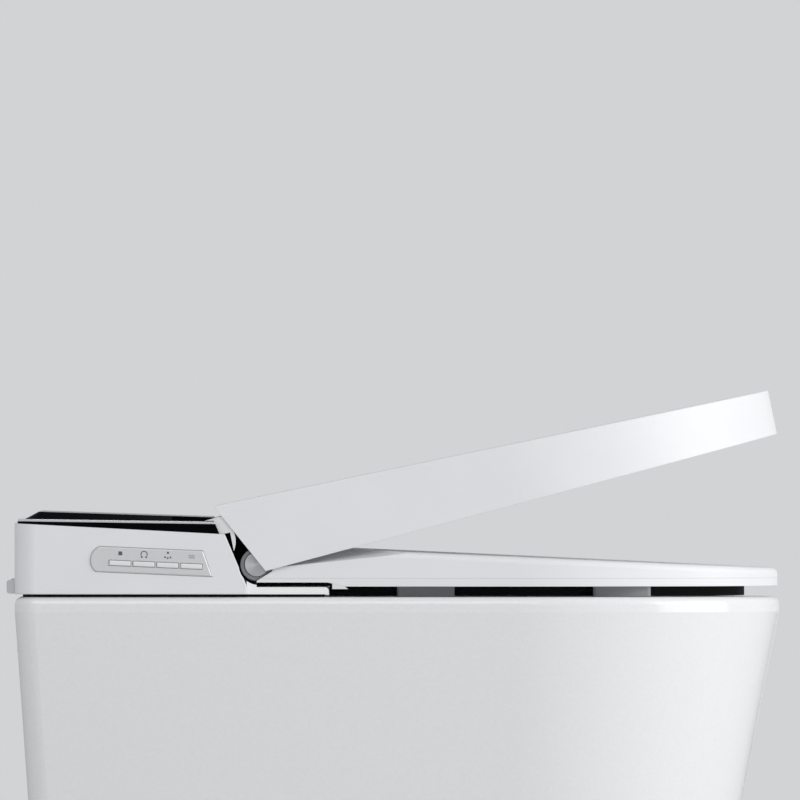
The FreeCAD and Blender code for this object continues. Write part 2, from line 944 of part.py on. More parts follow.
def top_cover():
    def roof_line(x):
        return strip_height(x) - cover_roof

    def below(x):
        return case_front_height - cover_wall

    slab = layer(cover_inset, case_line_height, strip_height, 0)
    inside = layer(cover_inset + cover_wall, below, roof_line, cover_wall)
    return slab.cut([inside] + arm_slots(rim_height, panel_back_height))


def top_strip():
    def upper(x):
        return strip_height(x) + strip_thickness

    ring = layer(cover_inset, strip_height, upper, 0)
    inner = back_x + panel_back_inset + strip_width
    inside = side_prism([(inner, rim_height), (inner, panel_back_height),
                         (cover_front_x - strip_width, panel_back_height),
                         (cover_front_x - strip_width, rim_height)],
                        strip_width - half_width, half_width - strip_width)
    return ring.cut([inside] + arm_slots(rim_height, panel_back_height))


def panel_wire(amount, front, height_line):
    """Outline of the bevelled panel on a sloping plane."""
    plan = casing_plan(cover_inset + amount)
    plan = plan._replace(back=plan.back + panel_back_inset)
    cut = plan.corner * (1 - math.sqrt(0.5))
    inner = plan.half - plan.corner

    def at(x, y):
        return Vector(x, y, height_line(x))

    return Part.Wire([
        line(at(front, plan.half), at(plan.back + plan.corner, plan.half)),
        Part.Arc(at(plan.back + plan.corner, plan.half), at(plan.back + cut, plan.half - cut),
                 at(plan.back, inner)).toShape(),
        line(at(plan.back, inner), at(plan.back, -inner)),
        Part.Arc(at(plan.back, -inner), at(plan.back + cut, cut - plan.half),
                 at(plan.back + plan.corner, -plan.half)).toShape(),
        line(at(plan.back + plan.corner, -plan.half), at(front, -plan.half)),
        line(at(front, -plan.half), at(front, plan.half)),
    ])


def top_panel():
    def foot_line(x):
        return strip_height(x) + strip_thickness

    wires = [panel_wire(0, cover_x(foot_line(case_front_x), 0), foot_line),
             panel_wire(panel_bevel, cover_x(panel_height(case_front_x), 0), panel_height)]
    slab = Part.makeLoft(wires, True, True)
    return slab.cut(arm_slots(rim_height, panel_back_height + overrun))


def hood(wall):
    """The black hump between the lid's arms, set back where the raised seat leans, drawn in by a wall."""
    crown = hood_top - wall
    shelf = case_front_height - fit_gap
    lean = wall * math.hypot(hood_foot_x - hood_top_x, hood_top - hood_foot) / (hood_top - hood_foot)
    skin_x = slope_x(shelf, front_setback + front_wall)
    outline = [(skin_x, shelf), (cover_x(shelf, -side_gap - wall), shelf),
               (cover_x(crown, -side_gap - wall), crown), (hood_top_x - lean, crown),
               (hood_foot_x - lean, hood_foot), (hood_foot_x - lean, seat_axis_height + wall),
               (slope_x(seat_axis_height, front_setback + front_wall), seat_axis_height + wall)]
    form = side_prism(outline, wall - hood_half, hood_half - wall)
    notch_half = hood_half - hood_end_width + wall
    notch = box(hood_notch_x - wall, nose_x, -notch_half, notch_half, seat_axis_height, hood_top)
    return form.cut([notch, rod_y(seat_axis_x, seat_axis_height, ear_radius + side_gap + wall,
                                  -half_width, half_width)])


def front_skin(setback, foot, crown, half):
    profile = case_profile(case_front_x - setback, seam_x - setback, case_slope, foot, crown)
    return case_block(profile, setback, half)


def hinge_collar():
    """Dark lining of the hollow behind the hinge ring, user's right side."""
    near = -ring_outer_y + collar_setback
    far = near + collar_depth
    root = hinge_cove(front_setback + front_wall / 2, near, far)
    root = root.common(box(back_x, seam_x - front_setback * 2 - fit_gap, near, far,
                           base_top, seat_axis_height))
    reach = box(back_x, seat_axis_x - side_gap, near, far, base_top, seat_axis_height)
    room = rod_y(seat_axis_x, seat_axis_height, ring_radius + ring_room, near, far)
    return hinge_cove(-fit_gap, near, far).common(reach).fuse(root).cut(room)


def front_cover():
    low = base_top
    half = case_inner_half - fit_gap
    outer = front_skin(front_setback, low, -fit_gap, half)
    inner = front_skin(front_setback + front_wall, low - overrun, overrun, half + overrun)
    skin = outer.cut(inner).fuse(hood(0)).cut(hood(front_wall))
    reach = box(back_x, seat_axis_x, -half_width, half_width, low - overrun,
                low + spray_door_height)
    door = reach.common(box(back_x, nose_x, -nozzle_bay_half, nozzle_bay_half, 0, panel_back_height))
    vent = box(back_x, seat_axis_x, -duct_outer_y - fit_gap, -duct_inner_y + fit_gap,
               low - overrun, low + duct_height + fit_gap)
    posts = [box(seat_axis_x - post_radius - fit_gap, seat_axis_x, side - post_radius,
                 side + post_radius, low - overrun, seat_axis_height)
             for side in (-(post_inner_y + post_outer_y) / 2, (post_inner_y + post_outer_y) / 2)]
    under_arms = lid_axis_height - arm_half_height - hook_drop - slot_gap
    coves = [box(seam_x - front_setback * 2, seat_axis_x, near, far, low - overrun, seat_axis_height)
             for near, far in ((-half_width, -post_outer_y), (post_outer_y, half_width))]
    skin = skin.cut([door, vent] + posts + coves + arm_slots(under_arms, panel_back_height))
    return skin.fuse([hinge_collar(), mirrored(hinge_collar())])


def rear_buffers():
    low = base_bottom + side_gap
    pad = box(back_x - buffer_length, back_x, -buffer_y - buffer_width / 2,
              -buffer_y + buffer_width / 2, low, low + buffer_height)
    outer = [edge for edge in pad.Edges
             if all(abs(v.X - (back_x - buffer_length)) < near_enough for v in edge.Vertexes)]
    return both_sides(pad.makeFillet(buffer_round, outer))


def cord_gland():
    """Sleeve for the lead: a thin rim on the back wall and a neck that runs inside."""
    rim = rod_x(gland_y, gland_height, gland_radius, back_x - gland_proud, back_x)
    neck = rod_x(gland_y, gland_height, gland_neck_radius, back_x, back_x + gland_depth)
    bore = rod_x(gland_y, gland_height, gland_bore_radius, back_x - gland_proud - overrun,
                 back_x + gland_depth + overrun)
    return rim.fuse(neck).cut(bore)


# Control strip and buttons

def control_place(shape):
    """Moves a shape from the strip's own frame to its slanted place on the cheek."""
    placed = shape.copy()
    placed.translate(Vector(control_x, 0, control_height))
    return tilted(placed, control_x, control_height, -control_tilt)


def control_form(grow, y0, y1):
    high = control_half_height + grow
    low = -high

    def at(along, up):
        return Vector(along, y0, up)

    wire = Part.Wire([
        line(at(-control_top_back, high), at(control_top_front + grow, high)),
        line(at(control_top_front + grow, high), at(control_low_front + grow, low)),
        line(at(control_low_front + grow, low), at(-control_low_back, low)),
        Part.Arc(at(-control_low_back, low), at(-control_bulge - grow, 0),
                 at(-control_top_back, high)).toShape(),
    ])
    return Part.Face(wire).extrude(Vector(0, y1 - y0, 0))


def button_places():
    middle = (button_count - 1) / 2
    return [button_row_along + (i - middle) * button_pitch for i in range(button_count)]


def button_bar(along, grow, y0, y1):
    half_w = button_width / 2 + grow
    half_h = button_height / 2 + grow
    return box(along - half_w, along + half_w, y0, y1, button_row_up - half_h, button_row_up + half_h)


def button_window():
    reach = button_pitch * (button_count - 1) / 2 + button_width / 2 + button_flange + fit_gap * 2
    tall = button_height / 2 + button_flange_up + fit_gap * 2
    return box(button_row_along - reach, button_row_along + reach, -half_width - overrun,
               -case_inner_half + overrun, button_row_up - tall, button_row_up + tall)


def board_face():
    return button_back() + stem_length + button_travel + fit_gap + switch_height


def button_back():
    return -half_width + control_pocket + fit_gap + button_flange_thickness


def control_plate():
    face = -half_width - control_proud
    plate = control_form(0, face, -half_width + control_pocket)
    rim = [edge for edge in plate.Edges if all(abs(v.Y - face) < near_enough for v in edge.Vertexes)]
    plate = plate.makeChamfer(control_bevel, rim)
    slots = [button_bar(along, button_gap, face - overrun,
                        -half_width + control_pocket + overrun) for along in button_places()]
    return control_place(plate.cut(slots))


def button(along):
    face = -half_width - control_proud - button_proud
    flange_front = -half_width + control_pocket + fit_gap
    bar = button_bar(along, 0, face, flange_front)
    rim = [edge for edge in bar.Edges if all(abs(v.Y - face) < near_enough for v in edge.Vertexes)]
    bar = bar.makeFillet(button_round, rim)
    half_w = button_width / 2 + button_flange
    half_h = button_height / 2 + button_flange_up
    flange = box(along - half_w, along + half_w, flange_front, button_back(),
                 button_row_up - half_h, button_row_up + half_h)
    stem = rod_y(along, button_row_up, button_stem_radius, button_back(), button_back() + stem_length)
    return control_place(bar.fuse([flange, stem]))


def button_board():
    face = board_face()
    board = box(-board_half_length, board_half_length, face, face + board_thickness,
                -board_half_height, board_half_height)
    half = switch_size / 2
    switches = [box(along - half, along + half, face - switch_height, face,
                    button_row_up - half, button_row_up + half) for along in button_places()]
    return control_place(board.fuse(switches))


# Seat

def seat_top_height(x):
    return seat_crest_height - (x - seat_crest_x) * seat_fall_share


def shoulder_wedge(drop):
    """What is taken off above the slanted shoulder at the back corner, user's right."""
    edge = seat_half + overrun
    back = seat_axis_x - cove_radius * 2
    fall = shoulder_fall_share * (shoulder_x - back)
    inner = seat_half - fall / shoulder_lean_share

    def at(x, y):
        depth = shoulder_fall_share * (shoulder_x - x) - shoulder_lean_share * (seat_half - y)
        return Vector(x, -y, seat_top_height(x) - depth - drop)

    corners = [at(shoulder_x, edge), at(back, edge), at(back, inner)]
    lean = (corners[1] - corners[0]).cross(corners[2] - corners[0])
    lift = seat_crest_height - rim_height
    face = Part.Face(Part.makePolygon(corners + corners[:1]))
    return face.extrude(lean.normalize() * (lift if lean.z > 0 else -lift))


def seat_opening(grow):
    return Plan(seat_opening_back_x - grow, seat_opening_front_x + grow, seat_opening_half + grow,
                seat_opening_corner + grow, seat_opening_curve + grow)


def seat_form(side, top, rounded):
    """The whole seat, drawn in at its sides and lowered at its top."""
    plan = inset(Plan(seat_axis_x, seat_front_x, seat_half, back_corner, nose_curve), side)
    back = seat_axis_x + side
    profile = [(back, seat_back_bottom), (seat_ramp_start_x, seat_back_bottom),
               (seat_ramp_end_x, seat_bottom), (seat_front_x, seat_bottom),
               (seat_front_x, seat_top_height(seat_front_x) - top), (back, seat_top_height(back) - top)]
    body = side_prism(profile, -seat_half, seat_half)
    block = Plan(seat_axis_x - overrun - back_corner, plan.nose, plan.half, plan.corner, plan.curve)
    body = body.common(plan_prism(block, seat_bottom - overrun, lid_back_height))
    body = body.cut(plan_prism(seat_opening(side), seat_bottom - overrun, lid_back_height))
    if rounded:
        body = body.makeFillet(seat_round, seat_top_edges(body))
    wedge = shoulder_wedge(top)
    middle = box(seat_axis_x - overrun, seat_back_x + side, -post_outer_y - side_gap - side,
                 post_outer_y + side_gap + side, seat_bottom - overrun, lid_back_height)
    return body.cut([wedge, mirrored(wedge), middle])


def seat_top_edges(body):
    """The edges round the top of the seat, but not the straight one at the back."""
    def on_top(vertex):
        return abs(vertex.Z - seat_top_height(vertex.X)) < near_enough

    return [edge for edge in body.Edges if all(on_top(v) for v in edge.Vertexes)
            and any(v.X > seat_axis_x + overrun for v in edge.Vertexes)]


def under_ring(distance):
    """All that lies below the slanting flat of the hinge rings."""
    reach = seat_axis_x + distance
    block = box(reach, reach + cove_radius, -half_width, half_width,
                seat_axis_height - cove_radius, seat_axis_height + cove_radius)
    return tilted(block, seat_axis_x, seat_axis_height, -ring_flat_angle)


def ring_clearance(side):
    near, far = sorted((side * (ear_outer_y - ring_room), side * half_width))
    room = rod_y(seat_axis_x, seat_axis_height, ring_radius + ring_room, near, far)
    return room.cut(under_ring(ring_flat + ring_room))


def above_split(low):
    return box(back_x, lid_front_x, -half_width, half_width, low, lid_back_height)


def hinge_ear():
    """The eye at the back corner of the seat that turns on the pin, user's right side."""
    ear = rod_y(seat_axis_x, seat_axis_height, ear_radius, -ear_outer_y + ring_room,
                -post_outer_y - side_gap)
    web = box(seat_axis_x, seat_back_x + seat_wall, -ear_outer_y + ring_room,
              -post_outer_y - side_gap, seat_back_bottom, seat_split_height)
    return ear.fuse(web)


def ear_room(side):
    near, far = sorted((side * (ear_outer_y - ring_room + fit_gap), side * post_outer_y))
    return rod_y(seat_axis_x, seat_axis_height, ear_radius + fit_gap, near, far)


def seat_top():
    shell = seat_form(0, 0, True).common(above_split(seat_split_height))
    hollow = seat_form(seat_wall, seat_wall, False).common(above_split(seat_split_height - overrun))
    rooms = [ring_clearance(-1), ring_clearance(1), ear_room(-1), ear_room(1)]
    return largest_solid(shell.cut([hollow] + rooms))


def largest_solid(shape):
    return max(shape.Solids, key=lambda solid: solid.Volume)


def seat_base():
    pan = seat_form(0, 0, False).cut(above_split(seat_split_height))
    pan = pan.cut([ring_clearance(-1), ring_clearance(1)])
    ears = [hinge_ear(), mirrored(hinge_ear())]
    bores = rod_y(seat_axis_x, seat_axis_height, pin_radius + running_gap, -half_width, half_width)
    return largest_solid(pan.fuse(ears).cut(bores))


def seat_heater():
    film = seat_form(heater_inset, seat_wall, False)
    below = seat_form(heater_inset - seat_wall, seat_wall + heater_thickness, False)
    reach = box(seat_back_x + heater_inset, seat_front_x, -seat_half, seat_half,
                seat_split_height, lid_back_height)
    return largest_solid(film.cut(below).common(reach))


def seat_pads():
    """Soft feet under the seat, just outside its skirt."""
    pads = []
    for x in (back_pad_x, front_pad_x):
        inner = plan_half_at(skirt_plan(), x - pad_length / 2) + pad_skirt_gap
        pad = box(x - pad_length / 2, x + pad_length / 2, -inner - pad_width, -inner,
                  rim_height + fit_gap, seat_bottom)
        pads.append(pad.makeFillet(pad_round, upright_edges(pad)))
    return Part.makeCompound(pads + [mirrored(pad) for pad in pads])


def skirt_plan():
    return inset(Plan(seat_axis_x, seat_front_x, seat_half, back_corner, nose_curve), skirt_inset)


def ramp_height(x):
    """The seat's underside on the ramp behind its back pads."""
    share = (x - seat_ramp_start_x) / (seat_ramp_end_x - seat_ramp_start_x)
    return seat_back_bottom + (seat_bottom - seat_back_bottom) * share


def shelf_strip():
    """Dark strip over the shelf with a leg down its front end, user's right side."""
    low = base_top + skirt_gap
    leg_back = shelf_front_x + fit_gap
    leg_front = leg_back + leg_width
    profile = [(seat_axis_x + side_gap, low), (leg_back, low), (leg_back, rim_height + skirt_gap),
               (leg_front, rim_height + skirt_gap), (leg_front, ramp_height(leg_front)),
               (seat_ramp_start_x, seat_back_bottom), (seat_axis_x + side_gap, seat_back_bottom)]
    near = -post_outer_y - side_gap
    return side_prism(profile, near - skirt_wall, near)


def seat_skirt():
    """Dark band under the seat, set in from its edge, and two strips over the shelves."""
    outer = skirt_plan()
    low = rim_height + skirt_gap
    wall = plan_prism(outer, low, seat_bottom)
    wall = wall.cut(plan_prism(inset(outer, skirt_wall), low - overrun, seat_bottom + overrun))
    front = box(skirt_back_x, seat_front_x, -half_width, half_width, low, seat_bottom)
    tongue = rim_height + tongue_rise
    sliver = side_prism([(skirt_back_x, tongue), (tongue_front_x, tongue), (seat_ramp_end_x, seat_bottom),
                         (skirt_back_x, seat_bottom)], -half_width, half_width)
    return Part.makeCompound([wall.common(front).cut(sliver), shelf_strip(), mirrored(shelf_strip())])


# Seat hinge

def seat_pins():
    return both_sides(rod_y(seat_axis_x, seat_axis_height, pin_radius,
                            pin_end - ring_outer_y, -post_inner_y))


def hinge_rings():
    ring = rod_y(seat_axis_x, seat_axis_height, ring_radius, -ring_outer_y, -ear_outer_y)
    seat = rod_y(seat_axis_x, seat_axis_height, disc_radius + fit_gap,
                 -ring_outer_y - overrun, -ring_outer_y + disc_depth)
    bore = rod_y(seat_axis_x, seat_axis_height, pin_radius + running_gap, -half_width, 0)
    return both_sides(ring.cut([seat, bore, under_ring(ring_flat)]))


def hinge_discs():
    disc = rod_y(seat_axis_x, seat_axis_height, disc_radius, -ring_outer_y - disc_proud,
                 -ring_outer_y + disc_depth)
    face = [edge for edge in disc.Edges
            if all(abs(v.Y + ring_outer_y + disc_proud) < near_enough for v in edge.Vertexes)]
    return both_sides(disc.makeFillet(disc_proud, face))


def seat_barrels():
    tube = rod_y(seat_axis_x, seat_axis_height, barrel_radius, -post_inner_y, -barrel_inner_y)
    bore = rod_y(seat_axis_x, seat_axis_height, barrel_radius - barrel_wall,
                 -post_inner_y - overrun, -barrel_inner_y - barrel_wall)
    return both_sides(tube.cut(bore))


def seat_dampers():
    return both_sides(rod_y(seat_axis_x, seat_axis_height, barrel_radius - barrel_wall - fit_gap,
                            -post_inner_y, -barrel_inner_y - barrel_wall))


# Lid, drawn shut and then turned to its resting angle

def opened(shape):
    return tilted(shape, lid_axis_x, lid_axis_height, lid_rest_angle)


def lid_top_height(x):
    return lid_back_height - (x - lid_back_top_x) * lid_fall_share


def lid_back_x(height):
    share = (height - lid_low_height) / (lid_back_height - lid_low_height)
    return lid_back_low_x + (lid_back_top_x - lid_back_low_x) * share


def lid_plan():
    return Plan(lid_back_top_x - half_width / 2, lid_front_x, half_width, back_corner,
                nose_curve + lid_front_x - nose_x)


def lid_block():
    """The lid's plan drawn upwards, with a nose that leans forward."""
    low = lid_plan()
    lean = (lid_back_height - lid_low_height) * math.tan(math.radians(lid_nose_lean))
    high = low._replace(nose=low.nose + lean, curve=low.curve + lean)
    return Part.makeLoft([plan_wire(low, lid_low_height), plan_wire(high, lid_back_height)], True, True)


def lid_outside():
    far = lid_front_x + half_width
    profile = [(lid_back_low_x, lid_low_height), (far, lid_low_height), (far, lid_top_height(far)),
               (lid_back_top_x, lid_back_height)]
    body = side_prism(profile, -half_width, half_width).common(lid_block())
    top = [edge for edge in body.Edges
           if all(abs(v.Z - lid_top_height(v.X)) < near_enough for v in edge.Vertexes)]
    return body.makeFillet(lid_round, top)


def lid_inside():
    low = lid_low_height - overrun
    edge = lid_back_height - lid_back_skirt
    step = lid_back_wall
    profile = [(lid_back_top_x, low), (lid_front_x, low),
               (lid_front_x, lid_top_height(lid_front_x) - lid_wall),
               (lid_back_x(lid_back_height) + step, lid_top_height(lid_back_top_x + step) - lid_wall),
               (lid_back_x(edge) + step, edge), (lid_back_top_x, edge)]
    body = side_prism(profile, -half_width, half_width)
    return body.common(plan_prism(inset(lid_plan(), lid_wall), low - overrun, lid_back_height))


def lid_doorway():
    """The opening under the lip of the lid's back wall that goes over the black hump."""
    back = lid_back_top_x - overrun
    low = lid_low_height - overrun
    profile = [(back, low), (liner_back_x, low),
               (liner_back_x, lid_top_height(liner_back_x) - lid_back_lip),
               (back, lid_top_height(back) - lid_back_lip)]
    return side_prism(profile, -arm_inner_y, arm_inner_y)


def lid_shell():
    return opened(lid_outside().cut([lid_inside(), lid_doorway()]))


def lid_liner():
    def upper(x):
        return lid_top_height(x) - liner_depth

    profile = [(liner_back_x, upper(liner_back_x)), (lid_front_x, upper(lid_front_x)),
               (lid_front_x, upper(lid_front_x) - liner_thickness),
               (liner_back_x, upper(liner_back_x) - liner_thickness)]
    sheet = side_prism(profile, -half_width, half_width)
    sheet = sheet.common(plan_prism(inset(lid_plan(), lid_wall + fit_gap), lid_low_height, lid_back_height))
    return opened(sheet)


def lid_pads():
    pads = []
    for x, y in ((lid_back_pad_x, lid_back_pad_y), (lid_front_pad_x, lid_front_pad_y)):
        foot = seat_top_height(x) + lid_pad_room
        post = rod_z(x, -y, lid_pad_radius, foot, lid_back_height)
        trim = side_prism([(x - lid_pad_radius * 2, lid_top_height(x - lid_pad_radius * 2)),
                           (x + lid_pad_radius * 2, lid_top_height(x + lid_pad_radius * 2)),
                           (x + lid_pad_radius * 2, lid_back_height + overrun),
                           (x - lid_pad_radius * 2, lid_back_height + overrun)],
                          -half_width, half_width)
        trim.translate(Vector(0, 0, -liner_depth - liner_thickness))
        over = box(x - lid_pad_radius * 2, x + lid_pad_radius * 2, -half_width, half_width,
                   lid_back_height - liner_depth, lid_back_height + overrun)
        pads.append(post.cut([trim, over]))
    return opened(Part.makeCompound(pads + [mirrored(pad) for pad in pads]))


def arm_hook(low):
    """The curved tongue that hangs from an arm in front of the casing, user's right side."""
    top = Vector(lid_back_x(low), -arm_outer_y, low)
    tip = top - Vector(hook_lean, 0, hook_drop)
    back = top - Vector(hook_width, 0, 0)
    bulge = (top + tip) / 2 + Vector(hook_bulge, 0, 0)
    wire = Part.Wire([Part.Arc(top, bulge, tip).toShape(), line(tip, back), line(back, top)])
    return Part.Face(wire).extrude(Vector(0, arm_width, 0))


def lid_arms():
    high = lid_axis_height + arm_half_height
    low = lid_axis_height - arm_half_height
    beam = side_prism([(lid_axis_x, low), (lid_back_x(low), low), (lid_back_x(high), high),
                       (lid_axis_x, high)], -arm_outer_y, -arm_inner_y)
    hub = rod_y(lid_axis_x, lid_axis_height, hub_radius, -arm_outer_y, -arm_inner_y)
    bore = rod_y(lid_axis_x, lid_axis_height, shaft_radius + running_gap, -half_width, 0)
    return opened(both_sides(beam.fuse([hub, arm_hook(low)]).cut(bore)))


def lid_shaft():
    return rod_y(lid_axis_x, lid_axis_height, shaft_radius, -shaft_end_y, shaft_end_y)


def shaft_bushes():
    bush = rod_y(lid_axis_x, lid_axis_height, bush_radius, -bush_outer_y, -bush_inner_y)
    bore = rod_y(lid_axis_x, lid_axis_height, shaft_radius + running_gap, -half_width, 0)
    return both_sides(bush.cut(bore))


def lid_motor():
    case = box(lid_axis_x - lid_motor_half, lid_axis_x + lid_motor_half, lid_motor_inner_y,
               lid_motor_outer_y, base_top, lid_axis_height + lid_motor_over_axis)
    case = case.makeFillet(lid_motor_round,
                           edges_at_height(case, lid_axis_height + lid_motor_over_axis))
    return case.cut(rod_y(lid_axis_x, lid_axis_height, shaft_radius + running_gap, 0, half_width))


# Washing wands and their drive, drawn level with the tip at zero and then placed

def wand_place(shape, y):
    placed = shape.copy()
    placed.translate(Vector(wand_tip_x, y, wand_tip_height))
    return tilted(placed, wand_tip_x, wand_tip_height, -wand_tilt)


def rack_line():
    """Height of the rack's pitch line over the wand's axis."""
    return wand_radius + rack_base + gear_module * gear_root_share


def rack():
    tooth_count = int((rack_back - rack_front) / tooth_pitch)
    root = rack_line() - gear_module * gear_root_share
    crest = rack_line() + gear_module * gear_addendum_share
    lean = math.tan(math.radians(pressure_angle))
    half = (tooth_pitch / 2 - gear_backlash) / 2
    foot = half + gear_module * gear_root_share * lean
    tip = half - gear_module * gear_addendum_share * lean
    first = -drive_back - tooth_pitch / 2 - int((rack_back - drive_back) / tooth_pitch) * tooth_pitch
    points = [(first - tooth_pitch / 2, 0), (first - tooth_pitch / 2, root)]
    for i in range(tooth_count):
        middle = first + i * tooth_pitch
        points += [(middle - foot, root), (middle - tip, crest), (middle + tip, crest),
                   (middle + foot, root)]
    end = first + (tooth_count - 0.5) * tooth_pitch
    points += [(end, root), (end, 0)]
    return side_prism(points, -rack_width / 2, rack_width / 2)


def wand(y):
    tube = rod_x(0, 0, wand_radius, -wand_length, -tip_length)
    bore = rod_x(0, 0, wand_bore_radius, -wand_length - overrun, 0)
    return wand_place(tube.fuse(rack()).cut(bore), y)


def wand_tip(y):
    body = rod_x(0, 0, tip_radius, -tip_length, 0)
    nose = [edge for edge in body.Edges if all(abs(v.X) < near_enough for v in edge.Vertexes)]
    body = body.makeFillet(tip_radius / 2, nose)
    jets = [rod_z(-tip_length / 2 + i * jet_pitch, j * jet_pitch / 2, jet_radius, 0, tip_radius + overrun)
            for i in (-1, 0, 1) for j in (-1, 1)]
    return wand_place(body.cut(jets), y)


def gear_outline():
    """One side of a spur gear as points, with involute flanks and a tooth straight down."""
    base = gear_pitch_radius * math.cos(math.radians(pressure_angle))
    tip = gear_pitch_radius + gear_module * gear_addendum_share
    root = gear_pitch_radius - gear_module * gear_root_share
    pitch_roll = math.sqrt((gear_pitch_radius / base) ** 2 - 1)
    half_tooth = (tooth_pitch / 2 - gear_backlash) / 2 / gear_pitch_radius
    start = half_tooth + pitch_roll - math.atan(pitch_roll)
    flank = []
    for i in range(flank_steps + 1):
        radius = base + (tip - base) * i / flank_steps
        roll = math.sqrt(max((radius / base) ** 2 - 1, 0))
        flank.append((radius, start - (roll - math.atan(roll))))
    side = [(root, start)] + flank
    tooth = [(r, -a) for r, a in side] + [(r, a) for r, a in reversed(side)]
    points = []
    for i in range(gear_teeth):
        turn = 2 * math.pi * i / gear_teeth - math.pi / 2
        points += [(r * math.cos(turn + a), r * math.sin(turn + a)) for r, a in tooth]
    return points


def wand_pinion(y):
    gear = side_prism(gear_outline(), -gear_width / 2, gear_width / 2)
    gear.translate(Vector(-drive_back, 0, rack_line() + gear_pitch_radius))
    bore = rod_y(-drive_back, rack_line() + gear_pitch_radius, gear_bore_radius + running_gap,
                 -gear_width, gear_width)
    return wand_place(gear.cut(bore), y)


def wand_motors():
    height = rack_line() + gear_pitch_radius
    start = gear_width / 2 + motor_gap
    can = rod_y(-drive_back, height, motor_radius, start, start + motor_length)
    axle = rod_y(-drive_back, height, gear_bore_radius, -gear_width / 2, start)
    motor = wand_place(can.fuse(axle), wand_y)
    return Part.makeCompound([motor, mirrored(motor)])


def wand_cradle():
    """Guide that both wands slide in, standing on the chassis and holding the two motors."""
    half = wand_y + wand_radius + cradle_wall
    low = -wand_radius - cradle_wall
    top = wand_radius * cradle_side_share
    bed = box(-cradle_back, -cradle_front, -half, half, low, top)
    bores = []
    for side in (-1, 1):
        bores.append(rod_x(side * wand_y, 0, wand_radius + fit_gap, -wand_length, 0))
        bores.append(box(-wand_length, 0, side * wand_y - cradle_mouth / 2,
                         side * wand_y + cradle_mouth / 2, 0, wand_radius * 2))
    bed = wand_place(bed.cut(bores), 0)
    foot_x = wand_tip_x - cradle_back * math.cos(math.radians(wand_tilt)) + cradle_foot
    under = wand_place(box(-cradle_back * 2, 0, -half * 2, half * 2, low + cradle_sink,
                           motor_radius * 4), 0)
    feet = []
    for x in (foot_x, (foot_x + nozzle_bay_back_x) / 2, nozzle_bay_back_x - cradle_foot):
        leg = box(x - cradle_foot / 2, x + cradle_foot / 2, -half, half, base_top, lid_axis_height)
        feet.append(leg.cut(under))
    return bed.fuse(feet + motor_brackets()).removeSplitter()


def motor_brackets():
    """Cups that carry the motors, with a foot down to the chassis."""
    height = rack_line() + gear_pitch_radius
    start = wand_y + gear_width / 2 + motor_gap + fit_gap
    end = start + motor_length - fit_gap * 2
    cup = rod_y(-drive_back, height, motor_radius + motor_bracket_wall, start, end)
    upper = box(-drive_back - motor_radius * 2, -drive_back + motor_radius * 2, start, end,
                height, height + motor_radius * 2)
    cup = wand_place(cup.cut(upper), 0)
    axis_x = wand_tip_x - drive_back * math.cos(math.radians(wand_tilt))
    axis_x += height * math.sin(math.radians(wand_tilt))
    beside_bed = wand_y + wand_radius + cradle_wall
    leg = box(axis_x - motor_radius, axis_x - motor_radius / 2, beside_bed, end,
              base_top, wand_tip_height + height)
    room = wand_place(rod_y(-drive_back, height, motor_radius + fit_gap, 0, half_width), 0)
    bracket = cup.fuse(leg).cut(room)
    return [bracket, mirrored(bracket)]


# Warm air dryer

def blower_case():
    high = base_top + blower_height
    drum = rod_z(blower_x, blower_y, blower_radius, base_top, high)
    throat = box(blower_x, blower_x + blower_radius + duct_wall, -duct_outer_y, -duct_inner_y, base_top,
                 base_top + duct_height)
    form = drum.fuse(throat)
    hollow = rod_z(blower_x, blower_y, blower_radius - blower_wall, base_top + blower_wall,
                   high - blower_wall)
    mouth = box(blower_x, blower_x + blower_radius + duct_wall + overrun, -duct_outer_y + duct_wall,
                -duct_inner_y - duct_wall, base_top + blower_wall, base_top + duct_height - duct_wall)
    eye = rod_z(blower_x, blower_y, fan_axle_radius + side_gap, base_top + blower_wall, high + overrun)
    return form.cut([hollow, mouth, eye])


def fan_floor():
    return base_top + blower_wall + (blower_height - 2 * blower_wall - fan_height) / 2


def blower_fan():
    low = fan_floor()
    plate = rod_z(blower_x, blower_y, fan_radius, low, low + fan_plate)
    hub = rod_z(blower_x, blower_y, fan_hub_radius, low, low + fan_height)
    blades = []
    for i in range(fan_blades):
        blade = box(blower_x + fan_hub_radius - fan_blade_thickness, blower_x + fan_radius,
                    blower_y - fan_blade_thickness / 2, blower_y + fan_blade_thickness / 2,
                    low, low + fan_height)
        blade.rotate(Vector(blower_x, blower_y, 0), Z_AXIS, i * 360 / fan_blades)
        blades.append(blade)
    bore = rod_z(blower_x, blower_y, fan_axle_radius + running_gap, low - overrun,
                 low + fan_height + overrun)
    return plate.fuse([hub] + blades).cut(bore)


def blower_motor():
    high = base_top + blower_height
    can = rod_z(blower_x, blower_y, fan_motor_radius, high, high + fan_motor_height)
    axle = rod_z(blower_x, blower_y, fan_axle_radius, fan_floor(), high)
    return can.fuse(axle)


def dryer_duct():
    start = blower_x + blower_radius + duct_wall
    tube = box(start, duct_front_x, -duct_outer_y, -duct_inner_y, base_top, base_top + duct_height)
    bore = box(start - overrun, duct_front_x + overrun, -duct_outer_y + duct_wall,
               -duct_inner_y - duct_wall, base_top + duct_wall, base_top + duct_height - duct_wall)
    pin_holes = rod_y(flap_axis_x(), flap_axis_height(), flap_pin_radius + running_gap,
                      -duct_outer_y - overrun, -duct_inner_y + overrun)
    return tube.cut([bore, pin_holes])


def flap_axis_x():
    return duct_front_x - flap_setback - flap_pin_radius


def flap_axis_height():
    return base_top + duct_height - duct_wall - flap_pin_radius - side_gap


